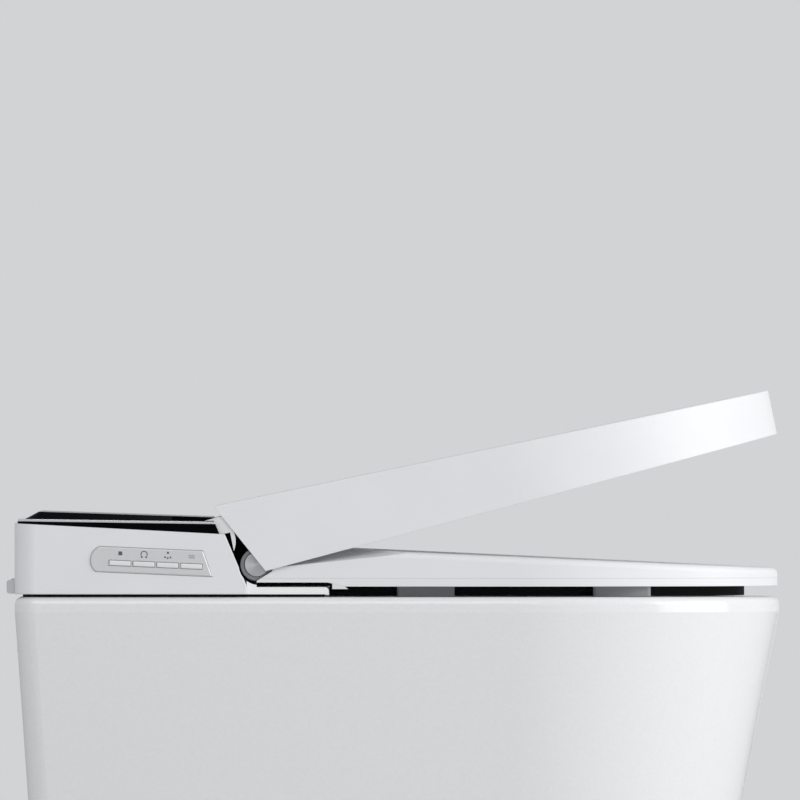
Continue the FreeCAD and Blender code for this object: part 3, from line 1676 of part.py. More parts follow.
def dryer_flap():
    near = -duct_outer_y + duct_wall + fit_gap
    far = -duct_inner_y - duct_wall - fit_gap
    axis_x = flap_axis_x()
    axis_z = flap_axis_height()
    plate = box(axis_x - flap_thickness / 2, axis_x + flap_thickness / 2, near, far,
                base_top + duct_wall + side_gap, axis_z)
    roll = rod_y(axis_x, axis_z, flap_pin_radius, -duct_outer_y, -duct_inner_y)
    return plate.fuse(roll)


# Water path and electrics

def inlet_block():
    middle = inlet_axis_height()
    return box(inlet_x - inlet_length / 2, inlet_x + inlet_length / 2, inlet_y - inlet_width / 2,
               inlet_y + inlet_width / 2, base_bottom - inlet_depth, base_bottom).cut(
        rod_x(inlet_y, middle, inlet_bore_radius, inlet_x - inlet_length, inlet_x))


def inlet_fitting():
    start = inlet_x - inlet_length / 2
    middle = inlet_axis_height()
    collar = rod_x(inlet_y, middle, inlet_collar_radius, start - inlet_collar_length, start)
    thread = rod_x(inlet_y, middle, inlet_thread_radius,
                   start - inlet_collar_length - inlet_thread_length, start)
    bore = rod_x(inlet_y, middle, inlet_bore_radius,
                 start - inlet_collar_length - inlet_thread_length - overrun, start + overrun)
    return collar.fuse(thread).cut(bore)


def flush_valve():
    """Valve on the front of the inlet block, with its coil standing on top."""
    start = inlet_x + inlet_length / 2
    middle = flush_axis_height()
    body = box(start, start + flush_length, inlet_y - flush_width / 2, inlet_y + flush_width / 2,
               middle - flush_height / 2, middle + flush_height / 2)
    coil = rod_z(start + flush_length / 2, inlet_y, flush_coil_radius, middle + flush_height / 2,
                 middle + flush_height / 2 + flush_coil_height)
    return body.fuse(coil)


def flush_tube():
    """Tube from the flush valve through the back wall of the basin."""
    start = inlet_x + inlet_length / 2 + flush_length
    tube = rod_x(inlet_y, flush_axis_height(), flush_radius, start, flush_end_x)
    return tube.cut(rod_x(inlet_y, flush_axis_height(), flush_bore_radius, start, flush_opening_x))


def water_valve():
    body = box(inlet_x - valve_length / 2, inlet_x + valve_length / 2, inlet_y - valve_width / 2,
               inlet_y + valve_width / 2, base_top, base_top + valve_height)
    coil = rod_z(inlet_x, inlet_y, coil_radius, base_top + valve_height,
                 base_top + valve_height + coil_height)
    return body.fuse(coil)


def heater_tank():
    tank = box(tank_x - tank_length / 2, tank_x + tank_length / 2, tank_y - tank_width / 2,
               tank_y + tank_width / 2, base_top, base_top + tank_height)
    return tank.makeFillet(tank_round, upright_edges(tank))


def feed_tube():
    """Tube from the valve to the heater tank, with one bend."""
    height = base_top + valve_height / 2
    start = Vector(inlet_x, inlet_y + valve_width / 2, height)
    elbow = Vector(inlet_x, tank_y - tube_bend, height)
    middle = Vector(inlet_x + tube_bend * (1 - math.sqrt(0.5)),
                    elbow.y + tube_bend * math.sqrt(0.5), height)
    turn_end = Vector(inlet_x + tube_bend, tank_y, height)
    finish = Vector(tank_x - tank_length / 2, tank_y, height)
    path = Part.Wire([line(start, elbow), Part.Arc(elbow, middle, turn_end).toShape(),
                      line(turn_end, finish)])
    outer = Part.Wire([Part.makeCircle(tube_radius, start, Y_AXIS)])
    inner = Part.Wire([Part.makeCircle(tube_bore_radius, start, Y_AXIS)])
    return path.makePipeShell([outer], True, False).cut(path.makePipeShell([inner], True, False))


def air_pump():
    height = base_top + pump_foot + pump_radius
    can = rod_y(pump_x, height, pump_radius, pump_y - pump_length / 2 + pump_radius / 2,
                pump_y + pump_length / 2 - pump_radius / 2)
    foot = box(pump_x - pump_radius, pump_x + pump_radius, pump_y - pump_length / 4,
               pump_y + pump_length / 4, base_top, base_top + pump_foot + pump_radius)
    return can.fuse(foot)


def main_board():
    low = base_top + standoff_height
    board = box(main_board_x - main_board_length / 2, main_board_x + main_board_length / 2,
                main_board_y - main_board_width / 2, main_board_y + main_board_width / 2,
                low, low + board_thickness)
    face = low + board_thickness
    half_length = main_board_length * chip_share
    half_width_of_chip = main_board_width * chip_share / 2
    chips = []
    for share in chip_place_shares:
        middle = main_board_y + share * main_board_width
        chips.append(box(main_board_x - half_length, main_board_x + half_length,
                         middle - half_width_of_chip, middle + half_width_of_chip,
                         face, face + chip_height))
    return board.fuse(chips)


# Every node of the part

def make_parts():
    parts = {
        "bowl_body": bowl_body(),
        "drain_seal": drain_seal(),
        "side_plugs": side_plugs(),
        "deck_gasket": deck_gasket(),
        "base_plate": base_plate(),
        "deck_bolts": deck_bolts(),
        "deck_nuts": deck_nuts(),
        "chassis_screws": chassis_screws(),
        "housing_shell": housing_shell(),
        "top_cover": top_cover(),
        "top_strip": top_strip(),
        "top_panel": top_panel(),
        "front_cover": front_cover(),
        "rear_buffers": rear_buffers(),
        "cord_gland": cord_gland(),
        "control_plate": control_plate(),
        "button_board": button_board(),
        "seat_top": seat_top(),
        "seat_base": seat_base(),
        "seat_heater": seat_heater(),
        "seat_pads": seat_pads(),
        "seat_skirt": seat_skirt(),
        "seat_pins": seat_pins(),
        "hinge_rings": hinge_rings(),
        "hinge_discs": hinge_discs(),
        "seat_barrels": seat_barrels(),
        "seat_dampers": seat_dampers(),
        "lid_shell": lid_shell(),
        "lid_liner": lid_liner(),
        "lid_pads": lid_pads(),
        "lid_arms": lid_arms(),
        "lid_shaft": lid_shaft(),
        "shaft_bushes": shaft_bushes(),
        "lid_motor": lid_motor(),
        "wand_cradle": wand_cradle(),
        "wand_motors": wand_motors(),
        "blower_case": blower_case(),
        "blower_fan": blower_fan(),
        "blower_motor": blower_motor(),
        "dryer_duct": dryer_duct(),
        "dryer_flap": dryer_flap(),
        "inlet_block": inlet_block(),
        "inlet_fitting": inlet_fitting(),
        "flush_valve": flush_valve(),
        "flush_tube": flush_tube(),
        "water_valve": water_valve(),
        "heater_tank": heater_tank(),
        "feed_tube": feed_tube(),
        "air_pump": air_pump(),
        "main_board": main_board(),
    }
    button_names = ("button_stop", "button_rear_wash", "button_front_wash", "button_dryer")
    for name, along in zip(button_names, button_places()):
        parts[name] = button(along)
    for name, y in (("rear_wash", wand_y), ("front_wash", -wand_y)):
        parts[name + "_wand"] = wand(y)
        parts[name + "_tip"] = wand_tip(y)
        parts[name + "_pinion"] = wand_pinion(y)
    return parts


os.makedirs("parts", exist_ok=True)
for node, shape in make_parts().items():
    shape.exportStep("parts/" + node + ".step")
    print(node, len(shape.Solids), round(shape.Volume), shape.isValid())
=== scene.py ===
# %% [markdown]
# # A washing toilet in the studio
# The solids of the toilet come in as a fixed frame, in metres, with the drain at the origin,
# the front towards +X and the floor at zero. This lesson gives each of them the finish that
# the real piece has, adds the small printed and turned details, and sets up a plain studio.

# %% Load the frame
import json
import math

import bmesh
import bpy
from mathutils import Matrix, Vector


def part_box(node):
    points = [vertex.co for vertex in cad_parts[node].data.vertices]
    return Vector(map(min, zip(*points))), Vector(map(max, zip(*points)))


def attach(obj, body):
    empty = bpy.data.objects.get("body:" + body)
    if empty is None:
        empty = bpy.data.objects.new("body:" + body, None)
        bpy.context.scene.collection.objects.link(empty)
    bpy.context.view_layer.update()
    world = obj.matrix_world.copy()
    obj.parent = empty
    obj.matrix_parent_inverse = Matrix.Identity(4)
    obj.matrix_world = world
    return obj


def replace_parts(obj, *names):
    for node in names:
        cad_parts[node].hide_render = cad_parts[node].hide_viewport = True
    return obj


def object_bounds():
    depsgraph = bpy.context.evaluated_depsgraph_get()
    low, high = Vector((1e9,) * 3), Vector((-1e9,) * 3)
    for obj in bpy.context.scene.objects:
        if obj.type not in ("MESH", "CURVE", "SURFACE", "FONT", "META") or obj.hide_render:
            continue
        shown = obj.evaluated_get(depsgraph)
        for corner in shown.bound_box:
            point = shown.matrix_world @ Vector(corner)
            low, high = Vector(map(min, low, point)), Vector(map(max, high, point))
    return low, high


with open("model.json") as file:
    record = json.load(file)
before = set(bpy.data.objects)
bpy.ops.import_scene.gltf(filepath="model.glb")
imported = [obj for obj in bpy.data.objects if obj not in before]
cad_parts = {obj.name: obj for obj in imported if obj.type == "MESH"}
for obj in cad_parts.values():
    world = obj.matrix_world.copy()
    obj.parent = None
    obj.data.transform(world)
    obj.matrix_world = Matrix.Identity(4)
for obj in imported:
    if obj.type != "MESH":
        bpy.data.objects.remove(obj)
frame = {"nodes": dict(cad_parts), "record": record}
nodes = frame["nodes"]
cad_low, cad_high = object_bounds()
print("frame:", len(nodes), "nodes,", [round(side, 3) for side in cad_high - cad_low], "m")

# %% [markdown]
# ## Tools for the finishes
# Colours are written as sRGB hex values, as a paint chart gives them, and one function turns
# them to the linear values that the shaders work in. A pattern's scale is how many times it
# repeats in a metre, so it is worked out from the real size of one grain in millimetres.
# One more function adds a node to a material, sets it and links it. Every finish starts with
# a Bevel node: moulds, glaze and tools all leave small rounds on an edge, and the node makes
# the light run round them without touching the solids.

# %% Colour, scale and node helpers
def linear(hex_colour):
    """An sRGB hex colour as linear red, green, blue and full alpha."""
    def channel(value):
        return value / 12.92 if value <= 0.04045 else ((value + 0.055) / 1.055) ** 2.4

    return [channel(int(hex_colour[i:i + 2], 16) / 255) for i in (1, 3, 5)] + [1.0]


def repeats(millimetres):
    """How often a pattern of this size repeats in one metre."""
    return 1000 / millimetres


def waves(millimetres):
    """The scale of a wave texture, which turns by 20 radians in one unit, for waves of this size."""
    return repeats(millimetres) * math.tau / 20


def add_node(finish, kind, settings=None, values=None, links=None):
    """One more shader node, with its settings, the values of its sockets and its links."""
    node = finish.node_tree.nodes.new("ShaderNode" + kind)
    for name, value in (settings or {}).items():
        setattr(node, name, value)
    for name, value in (values or {}).items():
        node.inputs[name].default_value = value
    for name, source in (links or {}).items():
        finish.node_tree.links.new(source, node.inputs[name])
    return node


edge_round_mm = 0.7


def new_finish(name, colour, values):
    """A material of one Principled shader. Gives the shader, Object coordinates and soft edges."""
    finish = bpy.data.materials.new(name)
    finish.use_nodes = True
    shader = finish.node_tree.nodes["Principled BSDF"]
    shader.inputs["Base Color"].default_value = linear(colour)
    for socket, value in values.items():
        shader.inputs[socket].default_value = value
    place = add_node(finish, "TexCoord").outputs["Object"]
    edge = add_node(finish, "Bevel", values={"Radius": edge_round_mm / 1000}).outputs["Normal"]
    finish.node_tree.links.new(edge, shader.inputs["Normal"])
    return finish, shader, place, edge


print("helpers ready; mid grey is", [round(v, 3) for v in linear("#808080")[:3]])

# %% [markdown]
# ## Glazed china
# The bowl is vitreous china: white clay under a coat of clear glass that melts and runs in the
# kiln. The eye gets a hard gloss, long shallow waves in the reflections and a few soft specks.
# A noise of hand-sized waves drives the bump, and a fine one varies colour and gloss a little.

# %% China finish
wave_mm, speck_mm, ripple_mm = 85, 3, 0.4
china, shader, place, edge = new_finish("glazed_china", "#EBECEC", {"IOR": 1.52, "Coat Weight": 0.2,
                                                                    "Specular IOR Level": 0.35})
glaze_wave = add_node(china, "TexNoise", values={"Scale": repeats(wave_mm), "Detail": 1.0},
                      links={"Vector": place})
speck = add_node(china, "TexNoise", values={"Scale": repeats(speck_mm), "Detail": 3.0},
                 links={"Vector": place})
tone = add_node(china, "ValToRGB", links={"Fac": speck.outputs["Fac"]})
tone.color_ramp.elements[0].color = linear("#E6E7E7")
tone.color_ramp.elements[1].color = linear("#EEEFEF")
gloss = add_node(china, "MapRange", values={"To Min": 0.10, "To Max": 0.18},
                 links={"Value": glaze_wave.outputs["Fac"]})
ripple = add_node(china, "Bump", values={"Strength": 0.25, "Distance": ripple_mm / 1000},
                  links={"Height": glaze_wave.outputs["Fac"], "Normal": edge})
china.node_tree.links.new(tone.outputs["Color"], shader.inputs["Base Color"])
china.node_tree.links.new(gloss.outputs["Result"], shader.inputs["Roughness"])
china.node_tree.links.new(ripple.outputs["Normal"], shader.inputs["Normal"])
print("made", china.name)

# %% [markdown]
# ## Moulded plastics
# Most other pieces are injection moulded. The steel mould leaves a fine grain, much smaller
# than a pixel here, so it is drawn coarser than it is. The grain moves gloss, height and tone
# together. One function makes every moulded finish from its colour, gloss and grain size.

# %% Moulded finishes
grains_in_flow_mark = 45


def moulded(name, colour, shade, roughness, grain_mm, relief_mm, values):
    """A moulded plastic or rubber: two close tones, and a grain in its gloss and its height."""
    finish, shader, place, edge = new_finish(name, colour, values)
    grain = add_node(finish, "TexNoise", values={"Scale": repeats(grain_mm), "Detail": 2.0},
                     links={"Vector": place})
    flow = add_node(finish, "TexNoise", links={"Vector": place},
                    values={"Scale": repeats(grain_mm * grains_in_flow_mark), "Detail": 1.0})
    tone = add_node(finish, "ValToRGB", links={"Fac": flow.outputs["Fac"]})
    tone.color_ramp.elements[0].color = linear(shade)
    tone.color_ramp.elements[1].color = linear(colour)
    gloss = add_node(finish, "MapRange", values={"To Min": roughness * 0.8, "To Max": roughness * 1.2},
                     links={"Value": grain.outputs["Fac"]})
    relief = add_node(finish, "Bump", values={"Strength": 0.3, "Distance": relief_mm / 1000},
                      links={"Height": grain.outputs["Fac"], "Normal": edge})
    finish.node_tree.links.new(tone.outputs["Color"], shader.inputs["Base Color"])
    finish.node_tree.links.new(gloss.outputs["Result"], shader.inputs["Roughness"])
    finish.node_tree.links.new(relief.outputs["Normal"], shader.inputs["Normal"])
    return finish


white_abs = moulded("white_abs", "#ECEDEE", "#E7E8EA", 0.44, 1.5, 0.03,
                    {"IOR": 1.53, "Specular IOR Level": 0.3})
# A whiter copy of the white plastic: painted light that lifts pieces sitting in shade.
shade_lifted_abs = moulded("shade_lifted_abs", "#FAFAFA", "#F6F6F7", 0.36, 1.5, 0.03, {"IOR": 1.53})
button_abs = moulded("button_abs", "#EBECED", "#E6E7E8", 0.30, 1.2, 0.03, {"IOR": 1.53})
wand_acetal = moulded("wand_acetal", "#E9EAEB", "#E3E5E6", 0.28, 1.2, 0.02, {"IOR": 1.48})
black_abs = moulded("piano_black_abs", "#0B0B0D", "#08080A", 0.14, 1.5, 0.01,
                    {"IOR": 1.5, "Specular IOR Level": 0.005})
dark_nylon = moulded("dark_nylon", "#828386", "#797A7D", 0.50, 0.9, 0.05, {"IOR": 1.53})
grey_polypropylene = moulded("grey_polypropylene", "#AEB0B2", "#A6A8AA", 0.45, 1.2, 0.05, {"IOR": 1.49})
nut_nylon = moulded("nut_nylon", "#7E7F81", "#77787A", 0.50, 0.9, 0.05, {"IOR": 1.53})
pad_elastomer = moulded("pad_elastomer", "#8E9092", "#85878A", 0.62, 0.8, 0.06, {"IOR": 1.5})
buffer_elastomer = moulded("buffer_elastomer", "#CDCED0", "#C5C7C9", 0.62, 0.8, 0.06, {"IOR": 1.5})
black_epdm = moulded("black_epdm", "#101012", "#0B0B0D", 0.70, 0.8, 0.08,
                     {"IOR": 1.5, "Specular IOR Level": 0.15})
print("moulded finishes ready, from", white_abs.name, "to", black_epdm.name)

# %% [markdown]
# ## Silver paint
# The control strip is plastic sprayed with silver lacquer: grey binder full of tiny aluminium
# flakes that each catch the light differently. Voronoi cells are the flakes. They are drawn at
# about half a millimetre, which is larger than life, so that the sparkle shows at all.

# %% Silver finish
flake_mm = 0.5
silver_lacquer, shader, place, edge = new_finish("silver_lacquer", "#DCDDDE", {"Metallic": 0.25,
                                                                              "Coat Weight": 0.2})
flakes = add_node(silver_lacquer, "TexVoronoi", values={"Scale": repeats(flake_mm)},
                  links={"Vector": place})
tone = add_node(silver_lacquer, "ValToRGB", links={"Fac": flakes.outputs["Distance"]})
tone.color_ramp.elements[0].color = linear("#DBDCDD")
tone.color_ramp.elements[1].color = linear("#D0D1D2")
gloss = add_node(silver_lacquer, "MapRange", values={"To Min": 0.32, "To Max": 0.44},
                 links={"Value": flakes.outputs["Distance"]})
silver_lacquer.node_tree.links.new(tone.outputs["Color"], shader.inputs["Base Color"])
silver_lacquer.node_tree.links.new(gloss.outputs["Result"], shader.inputs["Roughness"])
print("made", silver_lacquer.name)

# %% [markdown]
# ## Metals
# Four metals are in the part: chrome plate on the trim strip, turned stainless steel on the
# hinge discs, drawn stainless steel on pins, bolts and spray tips, and machined brass on the
# water inlet. What tells them apart is colour and the direction of their tool marks: long
# streaks for drawn bar and polished plate, rings round the axis for turned faces. Turning marks
# are a tenth of a millimetre apart, too fine to show here, so they are drawn much coarser, and
# the shader's anisotropy round the same axis gives the sheen of the fine ones.

# %% Metal finishes
streak_stretch = 25


def streaked(name, colour, shade, roughness, streak_mm, along):
    """A drawn or polished metal, with streaks that run far along one axis of the object."""
    finish, shader, place, edge = new_finish(name, colour, {"Metallic": 1.0})
    stretch = [1 / streak_stretch if axis == along else 1.0 for axis in "XYZ"]
    drawn = add_node(finish, "Mapping", values={"Scale": stretch}, links={"Vector": place})
    streak = add_node(finish, "TexNoise", values={"Scale": repeats(streak_mm), "Detail": 3.0},
                      links={"Vector": drawn.outputs["Vector"]})
    tone = add_node(finish, "ValToRGB", links={"Fac": streak.outputs["Fac"]})
    tone.color_ramp.elements[0].color = linear(shade)
    tone.color_ramp.elements[1].color = linear(colour)
    gloss = add_node(finish, "MapRange", values={"To Min": roughness * 0.7, "To Max": roughness * 1.3},
                     links={"Value": streak.outputs["Fac"]})
    finish.node_tree.links.new(tone.outputs["Color"], shader.inputs["Base Color"])
    finish.node_tree.links.new(gloss.outputs["Result"], shader.inputs["Roughness"])
    return finish


def turned(name, colour, roughness, groove_mm, relief_mm, centre, axis, pattern):
    """A lathe-turned metal: ring grooves about a centre, or bands along a turned bar."""
    finish, shader, place, edge = new_finish(name, colour, {"Metallic": 1.0, "Roughness": roughness,
                                                            "Anisotropic": 0.7})
    around = add_node(finish, "Tangent", settings={"direction_type": "RADIAL", "axis": axis})
    finish.node_tree.links.new(around.outputs["Tangent"], shader.inputs["Tangent"])
    from_axis = add_node(finish, "Mapping", values={"Location": [-c for c in centre]},
                         links={"Vector": place})
    groove = add_node(finish, "TexWave", settings=pattern,
                      values={"Scale": waves(groove_mm), "Distortion": 0.6, "Detail": 1.0},
                      links={"Vector": from_axis.outputs["Vector"]})
    relief = add_node(finish, "Bump", values={"Strength": 0.35, "Distance": relief_mm / 1000},
                      links={"Height": groove.outputs["Fac"], "Normal": edge})
    finish.node_tree.links.new(relief.outputs["Normal"], shader.inputs["Normal"])
    return finish


def middle(node):
    low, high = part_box(node)
    return (low + high) / 2


chrome_plate = streaked("chrome_plate", "#E3E5E7", "#D3D5D8", 0.10, 0.8, "X")
drawn_steel = streaked("drawn_steel", "#C4C6C8", "#B2B4B7", 0.28, 0.6, "Y")
turned_steel = turned("turned_steel", "#BCBDBF", 0.34, 4.0, 0.03, middle("hinge_discs"), "Y",
                      {"wave_type": "RINGS", "rings_direction": "Y"})
brass = turned("machined_brass", "#D8BC7A", 0.26, 2.0, 0.02, middle("inlet_fitting"), "X",
               {"wave_type": "BANDS", "bands_direction": "X"})
print("metals ready; discs turn about", [round(v, 4) for v in middle("hinge_discs")])

# %% [markdown]
# ## Boards and heater
# The circuit boards are green glass laminate with copper tracks under lacquer, which show as
# slightly lighter lines in a grid. The seat heater is aluminium foil with a wire laid in loops.
# Bricks make the tracks and a wave makes the loops: both repeat evenly, as the real ones do.

# %% Board and foil finishes
track_mm, row_mm, line_mm = 7.0, 2.2, 0.25
laminate, shader, place, edge = new_finish("green_laminate", "#1F6B3C", {"Roughness": 0.35, "IOR": 1.5})
lying = add_node(laminate, "Mapping", values={"Rotation": [0.0, 0.0, math.radians(90)]},
                 links={"Vector": place})
tracks = add_node(laminate, "TexBrick", links={"Vector": lying.outputs["Vector"]},
                  values={"Scale": 1.0, "Brick Width": track_mm / 1000, "Row Height": row_mm / 1000,
                          "Mortar Size": line_mm / 1000, "Color1": linear("#1C6236"),
                          "Color2": linear("#226F40"), "Mortar": linear("#4E9A63")})
laminate.node_tree.links.new(tracks.outputs["Color"], shader.inputs["Base Color"])

foil, shader, place, edge = new_finish("heater_foil", "#C9CACB", {"Metallic": 0.9, "Roughness": 0.38})
wire_pitch_mm, wire_mm = 9, 0.6
loops = add_node(foil, "TexWave", settings={"wave_type": "BANDS", "bands_direction": "X"},
                 values={"Scale": waves(wire_pitch_mm), "Distortion": 0.0},
                 links={"Vector": place})
wire = add_node(foil, "Bump", values={"Strength": 0.6, "Distance": wire_mm / 1000},
                links={"Height": loops.outputs["Fac"], "Normal": edge})
foil.node_tree.links.new(wire.outputs["Normal"], shader.inputs["Normal"])
print("made", laminate.name, "and", foil.name)

# %% [markdown]
# ## Dress the solids
# The record of the part says which material slot each node has, so the finishes are handed out
# by slot. A few nodes differ from their slot: the hinge discs are turned, not drawn, the wall
# buffers and the lead's gland are of a paler rubber than the seat's feet, and the chassis plate
# and the lid's arms get a whiter copy of the casing's plastic, a painted brightening that lifts
# the shade they sit in.

# %% Give every node its finish
finish_of_slot = {
    "china": china, "white_plastic": white_abs, "black_gloss": black_abs, "bright_trim": chrome_plate,
    "silver_plastic": silver_lacquer, "button_white": button_abs, "dark_plastic": dark_nylon,
    "grey_plastic": grey_polypropylene, "wand_white": wand_acetal, "steel": drawn_steel, "brass": brass,
    "nut_plastic": nut_nylon, "pad_rubber": pad_elastomer, "black_rubber": black_epdm,
    "circuit_board": laminate, "heater_film": foil,
}


def dress(piece, finish):
    piece.data.materials.clear()
    piece.data.materials.append(finish)


for row in frame["record"]["subparts"]:
    dress(nodes[row["node"]], finish_of_slot[row["material_slot"]])
dress(nodes["hinge_discs"], turned_steel)
for name in ("rear_buffers", "cord_gland"):
    dress(nodes[name], buffer_elastomer)
# The chassis plate and the lid's arms take the whiter copy, painted brightening over their shade.
for name in ("base_plate", "lid_arms"):
    dress(nodes[name], shade_lifted_abs)

# %% [markdown]
# ## Printed symbols
# A small symbol is printed over each button. Pad printing lays down a film of ink that is far
# thinner than a hair, but a film with no thickness would flicker with the strip's own face, so
# the ink stands a tenth of a millimetre proud. Each symbol is drawn in millimetres on the strip's
# own axes, found from the row of buttons, out of discs and strokes, and is then pushed out as a
# thin slab. They are plain signs that many makers use: a square for stop, an arch over two drops
# for the rear wash, a dot over a fan of drops for the front wash, and waves for the dryer.

# %% Pieces and outlines
def add_piece(name, bm, finish, body):
    """A new piece made of this bmesh, with its place in the mesh, that rides on a body."""
    bmesh.ops.recalc_face_normals(bm, faces=bm.faces)
    mesh = bpy.data.meshes.new(name)
    bm.to_mesh(mesh)
    bm.free()
    piece = bpy.data.objects.new(name, mesh)
    bpy.context.scene.collection.objects.link(piece)
    dress(piece, finish)
    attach(piece, body)
    return piece


def arc(radius, start, stop, points):
    """Points on a circle about the origin, between two angles in degrees."""
    step = (stop - start) / (points - 1)
    angles = [math.radians(start + i * step) for i in range(points)]
    return [Vector((math.cos(angle), math.sin(angle))) * radius for angle in angles]


def disc(x, y, radius):
    return [Vector((x, y)) + point for point in arc(radius, 0, 337.5, 16)]


def stroke(path, width):
    """The outline of a line of this width along a path."""
    left, right = [], []
    for i, point in enumerate(path):
        ahead = (path[min(i + 1, len(path) - 1)] - path[max(i - 1, 0)]).normalized()
        across = Vector((-ahead.y, ahead.x)) * width / 2
        left.append(point + across)
        right.append(point - across)
    return left + right[::-1]


def push_out(bm, faces, way):
    """Makes a slab of flat faces by extruding them."""
    grown = bmesh.ops.extrude_face_region(bm, geom=faces)
    top = [part for part in grown["geom"] if isinstance(part, bmesh.types.BMVert)]
    bmesh.ops.translate(bm, verts=top, vec=way)


print("a disc has", len(disc(0, 0, 1)), "points")

# %% Symbols over the buttons
symbol_rise_mm = 8.9
ink_mm = 0.12
strip_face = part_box("control_plate")[0].y
outward = Vector((0, -1, 0))
strip_along = (middle("button_dryer") - middle("button_stop")).normalized()
strip_up = outward.cross(strip_along)
square_half, arch_radius, wave_half, wave_rise = 1.7, 2.8, 2.8, 0.55
corners = ((-1, -1), (1, -1), (1, 1), (-1, 1))
square = [Vector(corner) * square_half for corner in corners]
wave = [Vector((wave_half * (i / 10 - 1), wave_rise * math.sin(math.tau * i / 10))) for i in range(21)]
symbols = {
    "button_stop": [square],
    "button_rear_wash": [stroke(arc(arch_radius, -25, 205, 25), 0.8)]
                        + [disc(2.0 * side, -2.4, 0.85) for side in (-1, 1)],
    "button_front_wash": [disc(0, 2.4, 1.0)] + [disc(2.4 * side, -1.7 - 0.7 * (side == 0), 0.8)
                                                for side in (-1, 0, 1)],
    "button_dryer": [stroke([point + Vector((0, rise)) for point in wave], 0.55) for rise in (-1.1, 0.7)],
}
ink = moulded("grey_ink", "#5E5F62", "#56575A", 0.55, 0.6, 0.01, {"IOR": 1.5})
pale_ink = moulded("pale_ink", "#9B9C9F", "#939497", 0.55, 0.6, 0.01, {"IOR": 1.5})
for button, outlines in symbols.items():
    centre = middle(button) + strip_up * symbol_rise_mm / 1000
    centre.y = strip_face
    bm = bmesh.new()
    for outline in outlines:
        verts = [bm.verts.new(centre + (strip_along * point.x + strip_up * point.y) / 1000)
                 for point in outline]
        push_out(bm, [bm.faces.new(verts)], outward * ink_mm / 1000)
    add_piece(button.replace("button", "symbol"), bm, pale_ink if button == "button_dryer" else ink,
              "frame")
print("printed", len(symbols), "symbols on the strip at y =", round(strip_face, 4))

# %% [markdown]
# ## Turned and threaded fittings
# The water inlet is turned from brass bar: a hexagon for the spanner, then a half-inch pipe thread
# for the hose. The deck bolts are rolled steel with a domed head, and their nuts are moulded with
# ribs for the fingers. Cut as a true helix a thread costs many faces, and nobody can tell it from
# a row of rings, so each is one closed profile that is spun round its axis. A hexagon is the
# same spin in six steps. Each of them takes the place of its plain solid.

# %% Spun fittings
def spin_profile(bm, profile, start, axis, steps):
    """Spins (along, radius) pairs in millimetres about an axis, as a tube or from axis to axis."""
    side = axis.orthogonal().normalized()
    line = [bm.verts.new(start + (axis * along + side * radius) / 1000) for along, radius in profile]
    ends = line[:1] if profile[0][1] > 0 else []
    edges = [bm.edges.new(pair) for pair in zip(line, line[1:] + ends)]
    bmesh.ops.spin(bm, geom=line + edges, cent=start, axis=axis, angle=math.tau, steps=steps,
                   use_merge=True)
    bmesh.ops.remove_doubles(bm, verts=bm.verts, dist=1e-6)


def thread(start, stop, radius, depth, pitch):
    """One side of a row of thread ridges, from root to crest and back."""
    turns = int((stop - start) / pitch)
    return [(start + pitch * (i + share), radius - drop)
            for i in range(turns) for share, drop in ((0.0, depth), (0.5, 0.0))]


inlet_low, inlet_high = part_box("inlet_fitting")
inlet_mm = (inlet_high.x - inlet_low.x) * 1000
hexagon_radius = (inlet_high.y - inlet_low.y) * 500
hexagon_mm, thread_radius, bore_radius, pipe_pitch, pipe_depth = 9.0, 10.4, 6.0, 1.814, 1.1
chamfer = 1.0
bm = bmesh.new()
inlet_start = Vector((inlet_low.x, middle("inlet_fitting").y, middle("inlet_fitting").z))
ridges = thread(chamfer, inlet_mm - hexagon_mm, thread_radius, pipe_depth, pipe_pitch)
spin_profile(bm, [(0, bore_radius), (0, thread_radius - pipe_depth)] + ridges
             + [(inlet_mm, thread_radius - pipe_depth), (inlet_mm, bore_radius)],
             inlet_start, Vector((1, 0, 0)), 48)
hexagon = [(inlet_mm - hexagon_mm, bore_radius + chamfer),
           (inlet_mm - hexagon_mm, hexagon_radius - chamfer),
           (inlet_mm - hexagon_mm + chamfer, hexagon_radius), (inlet_mm - chamfer, hexagon_radius),
           (inlet_mm, hexagon_radius - chamfer), (inlet_mm, bore_radius + chamfer)]
spin_profile(bm, hexagon, inlet_start, Vector((1, 0, 0)), 6)
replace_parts(add_piece("inlet_thread", bm, brass, "frame"), "inlet_fitting")

bolt_low, bolt_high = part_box("deck_bolts")
bolt_mm = (bolt_high.z - bolt_low.z) * 1000
head_radius = (bolt_high.x - bolt_low.x) * 500
head_mm, shank_radius, bolt_pitch, bolt_depth, dome_share = 5.0, 4.0, 1.25, 0.6, 0.7
shank_mm = bolt_mm - head_mm
rolled = thread(chamfer, shank_mm - chamfer, shank_radius, bolt_depth, bolt_pitch)
dome = [(shank_mm + head_mm * point.y, head_radius - head_radius * (1 - point.x) * dome_share)
        for point in arc(1, 0, 90, 7)]
bm = bmesh.new()
for side in (-1, 1):
    foot = Vector((middle("deck_bolts").x, side * (bolt_high.y - head_radius / 1000), bolt_low.z))
    spin_profile(bm, [(0, 0), (0, shank_radius - chamfer)] + rolled + [(shank_mm, shank_radius)]
                 + dome + [(bolt_mm, 0)], foot, Vector((0, 0, 1)), 32)
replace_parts(add_piece("bolt_threads", bm, drawn_steel, "frame"), "deck_bolts")
print("inlet thread:", len(ridges) // 2, "turns; bolts:", len(rolled) // 2, "turns each")

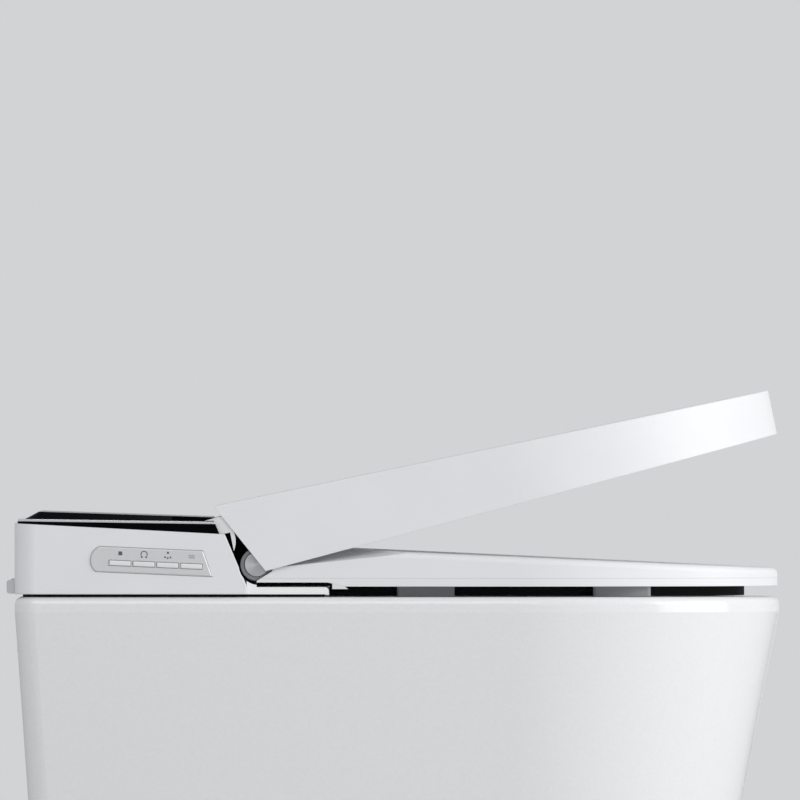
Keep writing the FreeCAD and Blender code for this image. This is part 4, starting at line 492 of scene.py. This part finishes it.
# %% Ribbed nuts
nut_low, nut_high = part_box("deck_nuts")
nut_radius = (nut_high.x - nut_low.x) * 500
rib_count, rib_depth, hole_radius = 18, 1.2, 4.05
rib_shares = (0.05, 0.45, 0.55, 0.95)
bm = bmesh.new()
for side in (-1, 1):
    foot = Vector((middle("deck_nuts").x, side * (nut_high.y - nut_radius / 1000), nut_low.z))
    rounds = []
    for crest, root in ((nut_radius, nut_radius - rib_depth), (hole_radius, hole_radius)):
        ring = [bm.verts.new(foot + Vector((math.cos(turn), math.sin(turn), 0)) * radius / 1000)
                for i in range(rib_count) for turn, radius in
                [(math.tau * (i + share) / rib_count, crest if share < 0.5 else root)
                 for share in rib_shares]]
        rounds += [bm.edges.new(pair) for pair in zip(ring, ring[1:] + ring[:1])]
    washer = bmesh.ops.bridge_loops(bm, edges=rounds)["faces"]
    push_out(bm, washer, Vector((0, 0, nut_high.z - nut_low.z)))
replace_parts(add_piece("ribbed_nuts", bm, nut_nylon, "frame"), "deck_nuts")
print("ribbed nuts with", rib_count, "ribs each")

# %% [markdown]
# ## Studio
# The view is square on to the user's right side and almost without perspective, so the camera
# stands far off with a very long lens. The picture is as wide as 721.6 mm of the toilet. A large
# soft light stands in front of the toilet, a weaker one on the camera's side, and the world fills
# in the rest. The pale background is only what camera and mirror rays see of the world.

# %% Camera, lights, floor and world
picture_width = 0.7216
picture_centre = Vector((0.0618, cad_low.y / 2, 0.5752))
camera_distance = 32.0
camera_data = bpy.data.cameras.new("camera")
camera_data.sensor_width = 36.0
camera_data.lens = camera_data.sensor_width * camera_distance / picture_width
camera_data.clip_end = camera_distance * 4
camera = bpy.data.objects.new("camera", camera_data)
camera.location = picture_centre - Vector((0, camera_distance, 0))
camera.rotation_euler = (math.radians(90), 0, 0)
bpy.context.scene.collection.objects.link(camera)
bpy.context.scene.camera = camera
bpy.context.scene.view_settings.view_transform = "Standard"

target = Vector((0.1, 0, 0.4))
for name, place, size, watts in (("front_softbox", (3.0, -0.9, 1.3), 2.2, 53),
                                 ("side_softbox", (-0.4, -3.2, 2.6), 2.0, 31)):
    lamp = bpy.data.lights.new(name, "AREA")
    lamp.shape = "SQUARE"
    lamp.size = size
    lamp.energy = watts
    softbox = bpy.data.objects.new(name, lamp)
    softbox.location = place
    softbox.rotation_euler = (target - Vector(place)).to_track_quat("-Z", "Y").to_euler()
    bpy.context.scene.collection.objects.link(softbox)

floor_half = 7.0
floor_mesh = bpy.data.meshes.new("floor")
floor_bm = bmesh.new()
bmesh.ops.create_grid(floor_bm, x_segments=1, y_segments=1, size=floor_half)
floor_bm.to_mesh(floor_mesh)
floor_bm.free()
floor = bpy.data.objects.new("floor", floor_mesh)
bpy.context.scene.collection.objects.link(floor)
floor_finish, shader, place, edge = new_finish("pale_floor", "#DCDDDE", {"Roughness": 0.8})
dress(floor, floor_finish)

world = bpy.data.worlds.new("studio")
world.use_nodes = True
bpy.context.scene.world = world
ambient = world.node_tree.nodes["Background"]
ambient.inputs["Color"].default_value = linear("#FCFDFF")
ambient.inputs["Strength"].default_value = 0.5
seen = add_node(world, "Background", values={"Color": linear("#D1D3D5"), "Strength": 1.0})
ray = add_node(world, "LightPath")
mirror = add_node(world, "Math", settings={"operation": "MAXIMUM"})
world.node_tree.links.new(ray.outputs["Is Glossy Ray"], mirror.inputs[0])
world.node_tree.links.new(ray.outputs["Is Transmission Ray"], mirror.inputs[1])
direct = add_node(world, "Math", settings={"operation": "MAXIMUM"})
world.node_tree.links.new(ray.outputs["Is Camera Ray"], direct.inputs[0])
world.node_tree.links.new(mirror.outputs["Value"], direct.inputs[1])
choose = add_node(world, "MixShader", links={"Fac": direct.outputs["Value"]})
world.node_tree.links.new(ambient.outputs["Background"], choose.inputs[1])
world.node_tree.links.new(seen.outputs["Background"], choose.inputs[2])
world.node_tree.links.new(choose.outputs["Shader"], world.node_tree.nodes["World Output"].inputs["Surface"])
print("camera lens", round(camera_data.lens), "mm at", camera_distance, "m")
